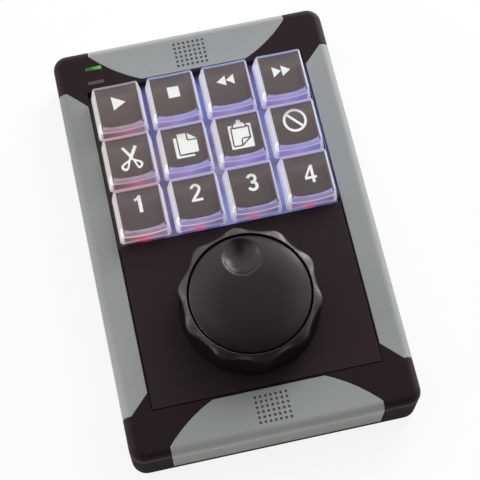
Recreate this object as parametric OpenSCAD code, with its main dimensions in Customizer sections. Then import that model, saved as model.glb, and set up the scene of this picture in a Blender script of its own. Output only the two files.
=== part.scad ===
// Programmable desk keypad with a jog and shuttle dial.
// Millimetres. The origin is on the desk, under the middle of the case.
// +X is the user's right, +Y points away from the user, +Z is up.

/* [Keys] */
// Distance between key centres, left to right
key_pitch_x = 19.05; // [18:0.05:24]
// Distance between key centres, front to rear
key_pitch_y = 19.25; // [18:0.05:24]
// Gap between the skirts of two neighbouring caps, left to right
cap_gap_x = 1.45; // [1:0.05:2]
// Gap between the skirts of two neighbouring caps, front to rear
cap_gap_y = 1.75; // [1:0.05:2.2]
// Height of a clear cap, from its rim to its top edges
cap_h = 8.1; // [7.4:0.1:10]
// How far each side of a cap leans in from rim to top
cap_lean = 1.0; // [0.6:0.05:1.4]
// Wall of a clear cap
cap_wall = 0.95; // [0.8:0.05:1.3]
// Depth of the dish across the top of a cap
dish_depth = 1.2; // [0.6:0.05:1.6]
// Height of a resting cap's rim above the top of the case
cap_rim_gap = 0.2; // [0.1:0.05:1]
// How far a key travels when pressed
key_travel = 3.5; // [2:0.1:4]

/* [Case] */
// Width of the case beside the key opening, on each side
side_band = 9.93; // [9:0.01:16]
// Length of the case behind the key opening
rear_band = 16.6; // [15.8:0.1:26]
// Length of the case in front of the dial panel
front_band = 15.7; // [14:0.1:24]
// Length of the dial panel's place in front of the keys
dial_zone = 57.8; // [54:0.1:80]
// Height of the top of the case above the desk
case_top = 19.55; // [19.4:0.05:26]
// Height at which the two halves of the case meet
seam_z = 7; // [6:0.1:8]
// Thickness of the case walls
wall = 3.4; // [2.8:0.02:4.1]
// Thickness of the top of the case
deck_t = 3; // [2.6:0.1:3.6]
// Thickness of the bottom of the case
floor_t = 2; // [1.6:0.1:3]
// Radius of the case's upright corners
corner_r = 5; // [4:0.5:8]
// Radius of the rounded shoulder round the top of the case
shoulder_r = 3; // [2:0.1:3.8]
// How far the feet stand out under the case
foot_proud = 1.2; // [0.8:0.1:2]
// Radius of a foot
foot_r = 5; // [4:0.5:7]

/* [Grey trims] */
// Thickness of the grey trims
trim_t = 1.6; // [1.2:0.1:2]
// Depth of the end trims, measured in from the end of the case
end_trim_d = 15.2; // [12:0.1:15.6]
// Width of the black corner beside an end trim
corner_w = 13.2; // [11:0.1:16]
// How far the curved side of an end trim runs inward
trim_run = 16.5; // [12:0.5:18]
// Radius of the curved side of an end trim
trim_arc_r = 50; // [40:1:80]
// Length of the black corner beside a side trim
corner_l = 15.3; // [13:0.1:18]

/* [Dial] */
// Distance from the front of the dial panel to the dial's axis
dial_from_front = 27.6; // [26:0.1:40]
// Radius of the jog wheel
wheel_r = 19.95; // [16.6:0.05:24]
// Height of the dial above the top of the case
dial_h = 14.4; // [14:0.1:18]
// Thickness of the jog wheel
wheel_t = 4.4; // [4:0.1:5]
// Gap between the jog wheel and the shuttle ring
ring_gap = 0.65; // [0.4:0.05:1]
// Width of the shuttle ring's sloping face, at the middle of a lobe
ring_face = 2; // [1.6:0.1:3]
// Depth of a lobe, above and below the middle
lobe_depth = 0.76; // [0.2:0.02:0.8]
// Number of lobes round the shuttle ring
lobe_count = 10; // [6:1:16]
// Radius of the finger dimple
dimple_r = 6.45; // [4:0.05:7]
// Depth of the finger dimple
dimple_d = 2.6; // [1:0.1:2.8]
// Radius of the dial's steel shaft
shaft_r = 3; // [2.5:0.1:3.2]

/* [Hidden] */
// Running and seating clearances
shaft_clear = 0.05;
bush_clear = 0.05;
seat_clear = 0.05;
seam_gap = 0.15;
panel_gap = 0.25;
key_edge_gap = 0.9;
rear_edge_gap = 1.9;
small_gap = 0.1;
cut = 0.5;
round_fn = 64;
hull_fn = 32;

// Keys, named from the rear left to the front right
key_names = ["play", "stop", "rewind", "forward",
             "cut", "copy", "paste", "cancel",
             "one", "two", "three", "four"];
key_cols = 4;
key_rows = len(key_names) / key_cols;
cap_w = key_pitch_x - cap_gap_x;
cap_l = key_pitch_y - cap_gap_y;
cap_rim_r = 1.2;
cap_top_r = 0.9;
key_field_w = (key_cols - 1) * key_pitch_x + cap_w;
key_field_l = (key_rows - 1) * key_pitch_y + cap_l;

// The case, worked outwards from the keys
opening_w = key_field_w + 2 * key_edge_gap;
case_w = opening_w + 2 * side_band;
case_l = front_band + dial_zone + key_field_l + rear_edge_gap + rear_band;
opening_front = -case_l / 2 + front_band;
key_front = opening_front + dial_zone;
opening_rear = case_l / 2 - rear_band;
base_z = foot_proud;
deck_z = case_top - deck_t;
inner_r = max(corner_r - wall, 0.8);
trim_foot_z = base_z + 2.3;

// The board, which carries the switches and the dial's sensor
board_t = 1.6;
board_z = base_z + 8.2;
board_top = board_z + board_t;
board_margin = 0.5;
boss_r = 3.4;
boss_x = case_w / 2 - wall - boss_r - 0.2;
boss_y = case_l / 2 - wall - boss_r - 0.2;
board_notch = boss_r + 0.8;
board_screw_x = opening_w / 2 + 2.2;
board_screw_y = [opening_front + 5, key_front - 4, opening_rear - 4];
board_boss_r = 2.9;

// Screws, all of one size
screw_r = 1.1;
screw_l = 6.6;
head_r = 2.2;
head_h = 1.6;
screw_hole_r = 1.35;
pilot_r = 1.15;
head_hole_r = 2.6;
head_seat_z = base_z + 2.2;

// Key pieces, stacked down from the cap
cap_rim_z = case_top + cap_rim_gap;
cap_ceiling_z = cap_rim_z + cap_h - dish_depth - cap_wall;
legend_t = 0.35;
legend_z = cap_ceiling_z - small_gap - legend_t;
legend_clear = 0.07;
lean_at_legend = cap_lean * (cap_ceiling_z - cap_rim_z) / cap_h;
legend_w = cap_w - 2 * (cap_wall + lean_at_legend + legend_clear);
legend_l = cap_l - 2 * (cap_wall + lean_at_legend + legend_clear);
legend_bow = 1.3;
base_top_z = legend_z - seat_clear;
base_w = legend_w - 0.1;
base_l = legend_l - 0.1;
base_wall = 0.9;
base_deck = 1.2;
base_rim_z = cap_rim_z + 0.7;
stem_w = 4;
housing_w = min(cap_w - 4.6, cap_l - 4.5);
housing_neck_w = base_w - 2 * base_wall - 1.2;
housing_neck_l = base_l - 2 * base_wall - 1.2;
housing_step_z = min(board_top + 4, cap_rim_z - key_travel - 0.8);
housing_top_z = base_rim_z - 1.95;
stem_z = housing_top_z - 2.9;
stem_hole_z = max(stem_z - key_travel - 0.3, board_top + 0.3);
led_w = 3.2;
led_l = 1.6;
led_h = 1.2;
led_y = housing_w / 2 + led_l / 2 + 0.3;

// Dial panel and the ledge that carries it
panel_t = 2.4;
panel_z = case_top - panel_t;
panel_w = opening_w - 2 * panel_gap;
panel_rear = key_front - 0.5;
ledge_w = 1.4;
ledge_t = 2.2;
ledge_root = 2;

// Dial
dial_y = opening_front + dial_from_front;
dial_top = case_top + dial_h;
sensor_w = 16;
sensor_top = panel_z - 0.4;
bush_r = 4.5;
bush_top = case_top + 7.4;
nut_z = case_top;
nut_h = 2.2;
nut_across = 11.5;
nut_sides = 6;
pocket_r = wheel_r + ring_gap;
ring_r = pocket_r + ring_face;
ring_bottom = case_top + 0.4;
ring_foot_r = ring_r + 0.85;
ring_slope_h = 1.6;
web_top = bush_top - 0.5;
web_t = 2;
hub_r = bush_r + 2.3;
hub_z = nut_z + nut_h + 0.45;
skirt_in_r = pocket_r - 0.2;
wheel_z = dial_top - wheel_t;
wheel_hub_r = 5.5;
wheel_hub_z = bush_top + 0.6;
shaft_z = board_top + 1;
shaft_top = dial_top - 2;
dimple_from_axis = wheel_r - dimple_r - 0.75;
spring_wire = 0.9;
spring_turns = 2.5;
spring_seat_r = nut_across / 2 / cos(180 / nut_sides) + 1.3;
spring_r = spring_seat_r + 0.3 + spring_wire / 2;
spring_z = case_top + 0.3 + spring_wire / 2;
spring_pitch = (web_top - web_t - 0.35 - spring_wire / 2 - spring_z) / spring_turns;

// Indicator lights in the rear left corner
light_w = 5.7;
light_l = 1.25;
light_x = max(-case_w / 2 + 13.8, -boss_x + boss_r + light_w / 2 + 0.5);
light_y = [case_l / 2 - 13.1, case_l / 2 - 7.55];
light_foot_z = board_top + led_h + 0.6;

// Cable inlet in the rear wall
plug_w = 12.6;
plug_h = 7.4;
plug_r = 1.5;
plug_depth = wall + 1.4;
inlet_w = 8.9;
inlet_h = 3.3;
inlet_l = 7.5;
inlet_y = case_l / 2 - plug_depth;
inlet_z = board_top + inlet_h / 2;
inlet_shell = 0.35;

// A rectangle with round corners, in the plane
module round_rect(w, l, r) {
    square([w - 2 * r, l], center = true);
    square([w, l - 2 * r], center = true);
    for (x = [-1, 1], y = [-1, 1])
        translate([x * (w / 2 - r), y * (l / 2 - r)]) circle(r, $fn = hull_fn);
}

// A flat slab with round upright corners
module slab(w, l, r, z0, z1) {
    translate([0, 0, z0]) linear_extrude(z1 - z0) round_rect(w, l, r);
}

// The outside of the case with its rounded shoulder, set in by a given amount
module case_outside(inset, z0) {
    r = max(corner_r - inset, 0.8);
    shoulder = max(shoulder_r - inset, 0.6);
    top = case_top - inset;
    hull()
        for (x = [-1, 1], y = [-1, 1])
            translate([x * (case_w / 2 - inset - r), y * (case_l / 2 - inset - r), 0]) {
                translate([0, 0, z0]) cylinder(r = r, h = top - shoulder - z0, $fn = hull_fn);
                translate([0, 0, top - shoulder])
                    rotate_extrude($fn = hull_fn)
                        translate([max(r - shoulder, 0), 0])
                            intersection() {
                                circle(shoulder, $fn = hull_fn);
                                square(shoulder);
                            }
            }
}

// Plan of the rear end trim, grown by a gap
module end_trim_plan(gap) {
    inner_y = case_l / 2 - end_trim_d;
    outer_x = case_w / 2 - corner_w;
    outer_y = case_l / 2 - shoulder_r;
    flat_x = outer_x - trim_run;
    chord = [trim_run, outer_y - inner_y];
    half = norm(chord) / 2;
    reach = sqrt(trim_arc_r * trim_arc_r - half * half);
    centre = [flat_x, inner_y] + chord / 2 + reach * [-chord[1], chord[0]] / (2 * half);
    intersection() {
        translate([-outer_x - gap, inner_y - gap])
            square([2 * (outer_x + gap), end_trim_d + gap + cut]);
        translate(centre) circle(trim_arc_r + gap, $fn = 4 * round_fn);
        translate([-centre[0], centre[1]]) circle(trim_arc_r + gap, $fn = 4 * round_fn);
    }
}

// Plan of the right side trim, grown by a gap
module side_trim_plan(gap) {
    inner_x = opening_w / 2 + 0.4 - gap;
    bend_x = case_w / 2 - shoulder_r;
    end_y = case_l / 2 - corner_l + gap;
    inner_y = end_y - (bend_x - inner_x);
    outer_x = case_w / 2 + cut;
    polygon([[inner_x, -inner_y], [bend_x, -end_y], [outer_x, -end_y],
             [outer_x, end_y], [bend_x, end_y], [inner_x, inner_y]]);
}

// The recess in the rear wall that takes the moulded end of the plug
module plug_cut() {
    translate([0, case_l / 2 + cut, inlet_z]) rotate([90, 0, 0])
        linear_extrude(plug_depth + cut) round_rect(plug_w, plug_h, plug_r);
}

// All four trim places, as upright prisms
module trim_places(gap, z0) {
    translate([0, 0, z0]) linear_extrude(case_top + cut - z0) {
        for (side = [0, 1]) mirror([0, side]) end_trim_plan(gap);
        for (side = [0, 1]) mirror([side, 0]) side_trim_plan(gap);
    }
}

// The layer that the trims fill, taken out of the case
module trim_recess() {
    difference() {
        trim_places(seam_gap, trim_foot_z - seam_gap);
        case_outside(trim_t, base_z);
    }
}

// One trim: the case's outer layer inside a plan
module trim_piece() {
    difference() {
        intersection() {
            case_outside(0, trim_foot_z);
            translate([0, 0, trim_foot_z]) linear_extrude(case_top) children();
        }
        case_outside(trim_t - seat_clear, base_z - cut);
    }
}

// Plug-side cut through the rear wall
module inlet_cut(w, h, y0, y1) {
    translate([0, y1, inlet_z]) rotate([90, 0, 0])
        linear_extrude(y1 - y0) round_rect(w, h, h / 2 - 0.2);
}

module at_case_screws() {
    for (x = [-1, 1], y = [-1, 1]) translate([x * boss_x, y * boss_y, 0]) children();
}

module at_board_screws() {
    for (x = [-1, 1], y = board_screw_y) translate([x * board_screw_x, y, 0]) children();
}

module at_key(index) {
    column = index % key_cols;
    row = floor(index / key_cols);
    translate([(column - (key_cols - 1) / 2) * key_pitch_x,
               key_front + cap_l / 2 + (key_rows - 1 - row) * key_pitch_y, 0]) children();
}

module at_keys() {
    for (index = [0 : len(key_names) - 1]) at_key(index) children();
}

module at_feet() {
    for (x = [-1, 1], y = [-1, 1])
        translate([x * (case_w / 2 - foot_r - 7), y * (case_l / 2 - foot_r - 13), 0]) children();
}

module bottom_case() {
    color("#2b2426")
    difference() {
        union() {
            difference() {
                slab(case_w, case_l, corner_r, base_z, seam_z);
                slab(case_w - 2 * wall, case_l - 2 * wall, inner_r, base_z + floor_t, seam_z + cut);
            }
            at_case_screws()
                translate([0, 0, base_z + cut]) cylinder(r = boss_r + 0.5, h = seam_z - base_z - cut, $fn = round_fn);
            at_board_screws()
                translate([0, 0, base_z + cut]) cylinder(r = board_boss_r, h = board_z - base_z - cut, $fn = round_fn);
        }
        trim_recess();
        at_case_screws() {
            translate([0, 0, base_z - cut]) cylinder(r = head_hole_r, h = head_seat_z - base_z + cut, $fn = round_fn);
            translate([0, 0, base_z]) cylinder(r = screw_hole_r, h = seam_z, $fn = round_fn);
        }
        at_board_screws()
            translate([0, 0, board_top - screw_l - 0.3]) cylinder(r = pilot_r, h = screw_l + 1, $fn = round_fn);
        at_feet()
            translate([0, 0, base_z - cut]) cylinder(r = foot_r + small_gap, h = cut + 0.5, $fn = round_fn);
    }
}

// Ledge under the dial panel, and the bar between the panel and the keys
module panel_ledge() {
    z0 = panel_z - ledge_t;
    difference() {
        translate([-opening_w / 2 - ledge_root, opening_front - ledge_root, z0])
            cube([opening_w + 2 * ledge_root, panel_rear - opening_front + ledge_root - 0.2, ledge_t]);
        translate([-opening_w / 2 + ledge_w, opening_front + ledge_w, z0 - cut])
            cube([opening_w - 2 * ledge_w, panel_rear - opening_front - ledge_w - 3.4, ledge_t + 2 * cut]);
    }
}

module top_case() {
    color("#2b2426")
    difference() {
        union() {
            difference() {
                case_outside(0, seam_z);
                slab(case_w - 2 * wall, case_l - 2 * wall, inner_r, seam_z - cut, deck_z);
                translate([-opening_w / 2, opening_front, seam_z])
                    cube([opening_w, opening_rear - opening_front, case_top]);
            }
            panel_ledge();
            at_case_screws()
                translate([0, 0, seam_z]) cylinder(r = boss_r, h = deck_z - seam_z + cut, $fn = round_fn);
        }
        trim_recess();
        at_case_screws()
            translate([0, 0, seam_z - cut]) cylinder(r = pilot_r, h = cut + screw_l - seam_z + head_seat_z + 0.4, $fn = round_fn);
        for (y = light_y)
            translate([light_x - light_w / 2 - small_gap, y - light_l / 2 - small_gap, deck_z - cut])
                cube([light_w + 2 * small_gap, light_l + 2 * small_gap, deck_t + 2 * cut]);
        plug_cut();
    }
}

module rear_trim() {
    color("#93989a")
    difference() {
        trim_piece() end_trim_plan(0);
        plug_cut();
    }
}

module front_trim() {
    color("#93989a") trim_piece() mirror([0, 1]) end_trim_plan(0);
}

module left_trim() {
    color("#93989a") trim_piece() mirror([1, 0]) side_trim_plan(0);
}

module right_trim() {
    color("#93989a") trim_piece() side_trim_plan(0);
}

module dial_panel() {
    front = opening_front + panel_gap;
    color("#2f2729")
    difference() {
        union() {
            translate([-panel_w / 2, front, panel_z]) cube([panel_w, panel_rear - front, panel_t]);
            // Collar that centres the shuttle spring
            translate([0, dial_y, case_top - cut])
                cylinder(r = spring_seat_r, h = cut + nut_h - 0.4, $fn = round_fn);
        }
        translate([0, dial_y, panel_z - cut]) cylinder(r = bush_r + small_gap, h = panel_t + 4, $fn = round_fn);
        translate([0, dial_y, nut_z]) cylinder(r = spring_seat_r - 0.8, h = nut_h + cut, $fn = round_fn);
    }
}

module main_board() {
    board_w = case_w - 2 * wall - 2 * board_margin;
    board_l = case_l - 2 * wall - 2 * board_margin;
    color("#14261f")
    difference() {
        translate([-board_w / 2, -board_l / 2, board_z]) cube([board_w, board_l, board_t]);
        at_case_screws()
            translate([-board_notch, -board_notch, board_z - cut])
                cube([2 * board_notch, 2 * board_notch, board_t + 2 * cut]);
        for (x = [-1, 1], y = [-1, 1])
            translate([x * (boss_x + board_notch) - board_notch, y * (boss_y + board_notch) - board_notch,
                       board_z - cut])
                cube([2 * board_notch, 2 * board_notch, board_t + 2 * cut]);
        at_board_screws()
            translate([0, 0, board_z - cut]) cylinder(r = screw_hole_r, h = board_t + 2 * cut, $fn = round_fn);
        translate([-plug_w / 2 - 0.3, inlet_y, board_z - cut])
            cube([plug_w + 0.6, plug_depth, board_t + 2 * cut]);
    }
}

module controller_chip() {
    chip_w = 10;
    color("#1c1c1e")
        translate([opening_w / 4 + 2, opening_front + 6, board_top]) {
            translate([0, 0, 0.2]) cube([chip_w, chip_w, 1.3]);
            for (side = [0, 1], pin = [0 : 7])
                translate([side * (chip_w + 0.6) - 1, 0.9 + pin * 1.1, 0]) cube([1.4, 0.5, 0.6]);
        }
}

module switch_housings() {
    color("#202024")
    at_keys()
        difference() {
            union() {
                translate([-housing_w / 2, -housing_w / 2, board_top])
                    cube([housing_w, housing_w, housing_step_z - board_top]);
                translate([-housing_neck_w / 2, -housing_neck_l / 2, board_top])
                    cube([housing_neck_w, housing_neck_l, housing_top_z - board_top]);
            }
            translate([-stem_w / 2 - 0.15, -stem_w / 2 - 0.15, stem_hole_z])
                cube([stem_w + 0.3, stem_w + 0.3, housing_top_z]);
        }
}

// A small surface light with its lens
module led(w, l) {
    translate([-w / 2, -l / 2, 0]) cube([w, l, led_h * 0.6]);
    translate([-w / 4, -l / 2 + 0.2, 0]) cube([w / 2, l - 0.4, led_h]);
}

module blue_leds() {
    color("#4a55e8") at_keys() translate([0, led_y, board_top]) led(led_w, led_l);
}

module red_leds() {
    color("#e8325a") at_keys() translate([0, -led_y, board_top]) led(led_w, led_l);
}

module light_pipe() {
    foot_w = 2.6;
    color("#57b04e") {
        for (y = light_y)
            translate([light_x - light_w / 2, y - light_l / 2, light_foot_z])
                cube([light_w, light_l, case_top - light_foot_z]);
        translate([light_x - foot_w / 2, light_y[0], light_foot_z])
            cube([foot_w, light_y[1] - light_y[0], 1.2]);
    }
}

module indicator_leds() {
    color("#5ad24a") for (y = light_y) translate([light_x, y, board_top]) led(led_w, led_l);
}

module cable_inlet() {
    tongue_w = inlet_w - 2.4;
    color("#b9bcc0") {
        difference() {
            inlet_cut(inlet_w, inlet_h, inlet_y - inlet_l, inlet_y);
            inlet_cut(inlet_w - 2 * inlet_shell, inlet_h - 2 * inlet_shell, inlet_y - inlet_l + 1, inlet_y + cut);
        }
        translate([-tongue_w / 2, inlet_y - inlet_l + cut, inlet_z - 0.35])
            cube([tongue_w, inlet_l - cut - 0.8, 0.7]);
    }
}

module dial_sensor() {
    color("#3c3f44")
    translate([0, dial_y, 0])
        difference() {
            union() {
                translate([-sensor_w / 2, -sensor_w / 2, board_top]) cube([sensor_w, sensor_w, sensor_top - board_top]);
                translate([0, 0, sensor_top - cut]) cylinder(r = bush_r, h = bush_top - sensor_top + cut, $fn = round_fn);
            }
            translate([0, 0, shaft_z - 0.2]) cylinder(r = shaft_r + shaft_clear, h = bush_top, $fn = round_fn);
        }
}

module sensor_nut() {
    color("#c9b37a")
    translate([0, dial_y, nut_z])
        difference() {
            cylinder(r = nut_across / 2 / cos(180 / nut_sides), h = nut_h, $fn = nut_sides);
            translate([0, 0, -cut]) cylinder(r = bush_r + bush_clear, h = nut_h + 2 * cut, $fn = round_fn);
        }
}

// The return spring is a round wire swept along a helix
spring_steps = 24;
spring_sides = 8;
function spring_point(step, side) =
    let (turn = 360 * step / spring_steps,
         out = spring_r + spring_wire / 2 * cos(360 * side / spring_sides),
         rise = spring_wire / 2 * sin(360 * side / spring_sides))
    [out * cos(turn), out * sin(turn), spring_pitch * step / spring_steps + rise];

module shuttle_spring() {
    rings = spring_turns * spring_steps;
    color("#aab0b6")
    translate([0, dial_y, spring_z])
        polyhedron(
            points = [for (step = [0 : rings], side = [0 : spring_sides - 1]) spring_point(step, side)],
            faces = concat(
                [[for (side = [0 : spring_sides - 1]) side]],
                [for (step = [0 : rings - 1], side = [0 : spring_sides - 1])
                    let (a = step * spring_sides + side,
                         b = step * spring_sides + (side + 1) % spring_sides)
                    [a, a + spring_sides, b + spring_sides, b]],
                [[for (side = [spring_sides - 1 : -1 : 0]) rings * spring_sides + side]]));
}

// Outline of the shuttle ring, with a lobe at the front and at the rear
function lobe_r(angle) = ring_r + lobe_depth * cos(lobe_count * (angle - 90));
module lobed_outline() {
    steps = 12 * lobe_count;
    polygon([for (step = [0 : steps - 1])
        let (angle = 360 * step / steps)
        lobe_r(angle) * [cos(angle), sin(angle)]]);
}

module shuttle_ring() {
    top_r = pocket_r + 0.3;
    slope_r = ring_r + lobe_depth + 0.05;
    slope_z = dial_top - ring_slope_h;
    lobe_z = case_top + 4;
    color("#5b5353")
    translate([0, dial_y, 0])
        difference() {
            union() {
                difference() {
                    union() {
                        intersection() {
                            translate([0, 0, lobe_z]) linear_extrude(dial_top - lobe_z) lobed_outline();
                            union() {
                                cylinder(r = slope_r, h = slope_z, $fn = 2 * round_fn);
                                translate([0, 0, slope_z])
                                    cylinder(r1 = slope_r, r2 = top_r, h = dial_top - slope_z, $fn = 2 * round_fn);
                            }
                        }
                        translate([0, 0, ring_bottom])
                            cylinder(r1 = ring_foot_r, r2 = ring_r - lobe_depth, h = dial_h - 4, $fn = 2 * round_fn);
                    }
                    translate([0, 0, web_top]) cylinder(r = pocket_r, h = dial_h, $fn = 2 * round_fn);
                    translate([0, 0, ring_bottom - cut])
                        cylinder(r = skirt_in_r, h = web_top - web_t - ring_bottom + cut, $fn = 2 * round_fn);
                }
                translate([0, 0, hub_z]) cylinder(r = hub_r, h = web_top - hub_z, $fn = round_fn);
            }
            translate([0, 0, ring_bottom]) cylinder(r = bush_r + bush_clear, h = dial_h, $fn = round_fn);
        }
}

module jog_wheel() {
    edge = 0.5;
    sphere_r = (dimple_r * dimple_r + dimple_d * dimple_d) / (2 * dimple_d);
    color("#3c3436")
    translate([0, dial_y, 0])
        difference() {
            union() {
                translate([0, 0, wheel_z]) cylinder(r = wheel_r, h = wheel_t - edge, $fn = 2 * round_fn);
                translate([0, 0, dial_top - edge])
                    cylinder(r1 = wheel_r, r2 = wheel_r - edge, h = edge, $fn = 2 * round_fn);
                translate([0, 0, wheel_hub_z]) cylinder(r = wheel_hub_r, h = wheel_z - wheel_hub_z + cut, $fn = round_fn);
            }
            translate([0, dimple_from_axis, dial_top - dimple_d + sphere_r]) sphere(sphere_r, $fn = 2 * round_fn);
            translate([0, 0, wheel_hub_z - cut])
                cylinder(r = shaft_r + 0.02, h = shaft_top - wheel_hub_z + cut, $fn = round_fn);
        }
}

module jog_shaft() {
    color("#c4c7ca")
    translate([0, dial_y, shaft_z]) cylinder(r = shaft_r, h = shaft_top - shaft_z - 0.02, $fn = round_fn);
}

module rubber_feet() {
    color("#1a1a1a") at_feet() cylinder(r = foot_r, h = base_z + 0.5, $fn = round_fn);
}

module screw() {
    difference() {
        union() {
            cylinder(r = head_r, h = head_h, $fn = round_fn);
            translate([0, 0, head_h - cut]) cylinder(r = screw_r, h = screw_l + cut, $fn = round_fn);
        }
        for (turn = [0, 90])
            rotate([0, 0, turn]) translate([-1.1, -0.25, -cut]) cube([2.2, 0.5, cut + 0.8]);
    }
}

module case_screws() {
    color("#8f9296") at_case_screws() translate([0, 0, head_seat_z - head_h]) screw();
}

module board_screws() {
    color("#8f9296") at_board_screws() translate([0, 0, board_top + head_h]) mirror([0, 0, 1]) screw();
}

// A clear cap: a leaning box, hollow below, with a dish across its top
module key_cap() {
    top_w = cap_w - 2 * cap_lean;
    top_l = cap_l - 2 * cap_lean;
    lean = cap_lean / cap_h;
    room_h = cap_ceiling_z - cap_rim_z;
    dish_r = (top_w * top_w / 4 + dish_depth * dish_depth) / (2 * dish_depth);
    sheet = 0.01;
    color("#d8dcec")
    difference() {
        hull() {
            slab(cap_w, cap_l, cap_rim_r, cap_rim_z, cap_rim_z + sheet);
            slab(top_w, top_l, cap_top_r, cap_rim_z + cap_h - sheet, cap_rim_z + cap_h);
        }
        hull() {
            slab(cap_w - 2 * cap_wall + 2 * lean * cut, cap_l - 2 * cap_wall + 2 * lean * cut, cap_rim_r / 2,
                 cap_rim_z - cut, cap_rim_z - cut + sheet);
            slab(cap_w - 2 * cap_wall - 2 * lean * room_h, cap_l - 2 * cap_wall - 2 * lean * room_h,
                 cap_top_r / 2, cap_ceiling_z - sheet, cap_ceiling_z);
        }
        translate([0, 0, cap_rim_z + cap_h - dish_depth + dish_r])
            rotate([90, 0, 0]) cylinder(r = dish_r, h = cap_l, center = true, $fn = 4 * round_fn);
    }
}

// The printed insert under a cap, with a bowed front edge
module key_legend() {
    bow_r = (legend_w * legend_w / 4 + legend_bow * legend_bow) / (2 * legend_bow);
    color("#5f5657")
    translate([0, 0, legend_z])
        linear_extrude(legend_t) {
            translate([-legend_w / 2, -legend_l / 2 + legend_bow]) square([legend_w, legend_l - legend_bow]);
            intersection() {
                translate([0, -legend_l / 2 + bow_r]) circle(bow_r, $fn = 4 * round_fn);
                translate([-legend_w / 2, -legend_l / 2]) square([legend_w, legend_l / 2]);
            }
        }
}

// The moving base of a key, with the stem that enters the switch
module key_base() {
    color("#c9cce4")
    union() {
        difference() {
            translate([-base_w / 2, -base_l / 2, base_rim_z]) cube([base_w, base_l, base_top_z - base_rim_z]);
            translate([-base_w / 2 + base_wall, -base_l / 2 + base_wall, base_rim_z - cut])
                cube([base_w - 2 * base_wall, base_l - 2 * base_wall, base_top_z - base_rim_z - base_deck + cut]);
        }
        translate([-stem_w / 2, -stem_w / 2, stem_z]) cube([stem_w, stem_w, base_top_z - stem_z - cut]);
    }
}

bottom_case();
top_case();
rear_trim();
front_trim();
left_trim();
right_trim();
dial_panel();
main_board();
controller_chip();
switch_housings();
blue_leds();
red_leds();
light_pipe();
indicator_leds();
cable_inlet();
dial_sensor();
sensor_nut();
shuttle_spring();
shuttle_ring();
jog_wheel();
jog_shaft();
rubber_feet();
case_screws();
board_screws();
for (index = [0 : len(key_names) - 1]) {
    at_key(index) key_cap();
    at_key(index) key_legend();
    at_key(index) key_base();
}
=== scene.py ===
# Keypad with a jog and shuttle dial: the looks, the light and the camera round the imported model.
import math
import bmesh
import bpy
from mathutils import Matrix, Vector
from mathutils.geometry import tessellate_polygon


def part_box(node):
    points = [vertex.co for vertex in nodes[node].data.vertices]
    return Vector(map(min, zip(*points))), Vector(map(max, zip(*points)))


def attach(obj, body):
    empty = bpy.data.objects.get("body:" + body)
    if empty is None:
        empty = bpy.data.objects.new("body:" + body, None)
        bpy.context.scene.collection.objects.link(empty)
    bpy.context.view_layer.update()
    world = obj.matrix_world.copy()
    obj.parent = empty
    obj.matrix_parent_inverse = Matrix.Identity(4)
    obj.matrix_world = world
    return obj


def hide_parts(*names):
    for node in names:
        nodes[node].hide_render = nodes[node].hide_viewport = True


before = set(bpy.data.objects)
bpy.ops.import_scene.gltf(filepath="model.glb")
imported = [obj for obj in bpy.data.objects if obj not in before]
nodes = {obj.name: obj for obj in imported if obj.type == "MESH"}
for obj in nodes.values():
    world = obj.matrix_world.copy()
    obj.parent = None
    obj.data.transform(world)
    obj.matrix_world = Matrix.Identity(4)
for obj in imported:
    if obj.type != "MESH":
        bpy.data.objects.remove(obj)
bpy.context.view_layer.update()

mm = 0.001
print("model loaded,", len(nodes), "nodes")


def paint(colour):
    # a screen colour, three numbers from 0 to 255, as linear light; anything else comes back as it is
    if not isinstance(colour, tuple) or len(colour) != 3:
        return colour
    parts = []
    for value in colour:
        share = value / 255
        parts.append(share / 12.92 if share <= 0.04045 else ((share + 0.055) / 1.055) ** 2.4)
    return (*parts, 1.0)


class Signal:
    # an output of a node, so that sums on it read as sums
    def __init__(self, tree, socket):
        self.tree = tree
        self.socket = socket

    def other(self, out):
        return Signal(self.tree, self.socket.node.outputs[out])

    def maths(self, operation, first, second):
        made = self.tree.nodes.new("ShaderNodeMath")
        made.operation = operation
        for place, value in zip(made.inputs, (first, second)):
            if isinstance(value, Signal):
                self.tree.links.new(value.socket, place)
            else:
                place.default_value = value
        return Signal(self.tree, made.outputs[0])

    def apply(self, operation, second=0.0):
        return self.maths(operation, self, second)

    def __add__(self, other):
        return self.apply("ADD", other)

    def __radd__(self, other):
        return self.maths("ADD", other, self)

    def __sub__(self, other):
        return self.apply("SUBTRACT", other)

    def __rsub__(self, other):
        return self.maths("SUBTRACT", other, self)

    def __mul__(self, other):
        return self.apply("MULTIPLY", other)

    def __rmul__(self, other):
        return self.maths("MULTIPLY", other, self)

    def __truediv__(self, other):
        return self.apply("DIVIDE", other)

    def __rtruediv__(self, other):
        return self.maths("DIVIDE", other, self)


class Tree:
    # a tree of nodes that is built here, each node by its type, its settings and its inputs
    def node(self, kind, settings, values, out=0):
        made = self.tree.nodes.new(kind)
        for key, value in settings.items():
            if key == "stops":
                ramp = made.color_ramp
                while len(ramp.elements) < len(value):
                    ramp.elements.new(1.0)
                for element, (place, colour) in zip(ramp.elements, value):
                    element.position = place
                    element.color = paint(colour)
            else:
                setattr(made, key, value)
        for key, value in values.items():
            if isinstance(value, Signal):
                self.tree.links.new(value.socket, made.inputs[key])
            else:
                made.inputs[key].default_value = value
        return Signal(self.tree, made.outputs[out]) if len(made.outputs) else None

    def axes(self, vector):
        x = self.node("ShaderNodeSeparateXYZ", {}, {0: vector})
        return x, x.other(1), x.other(2)


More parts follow.
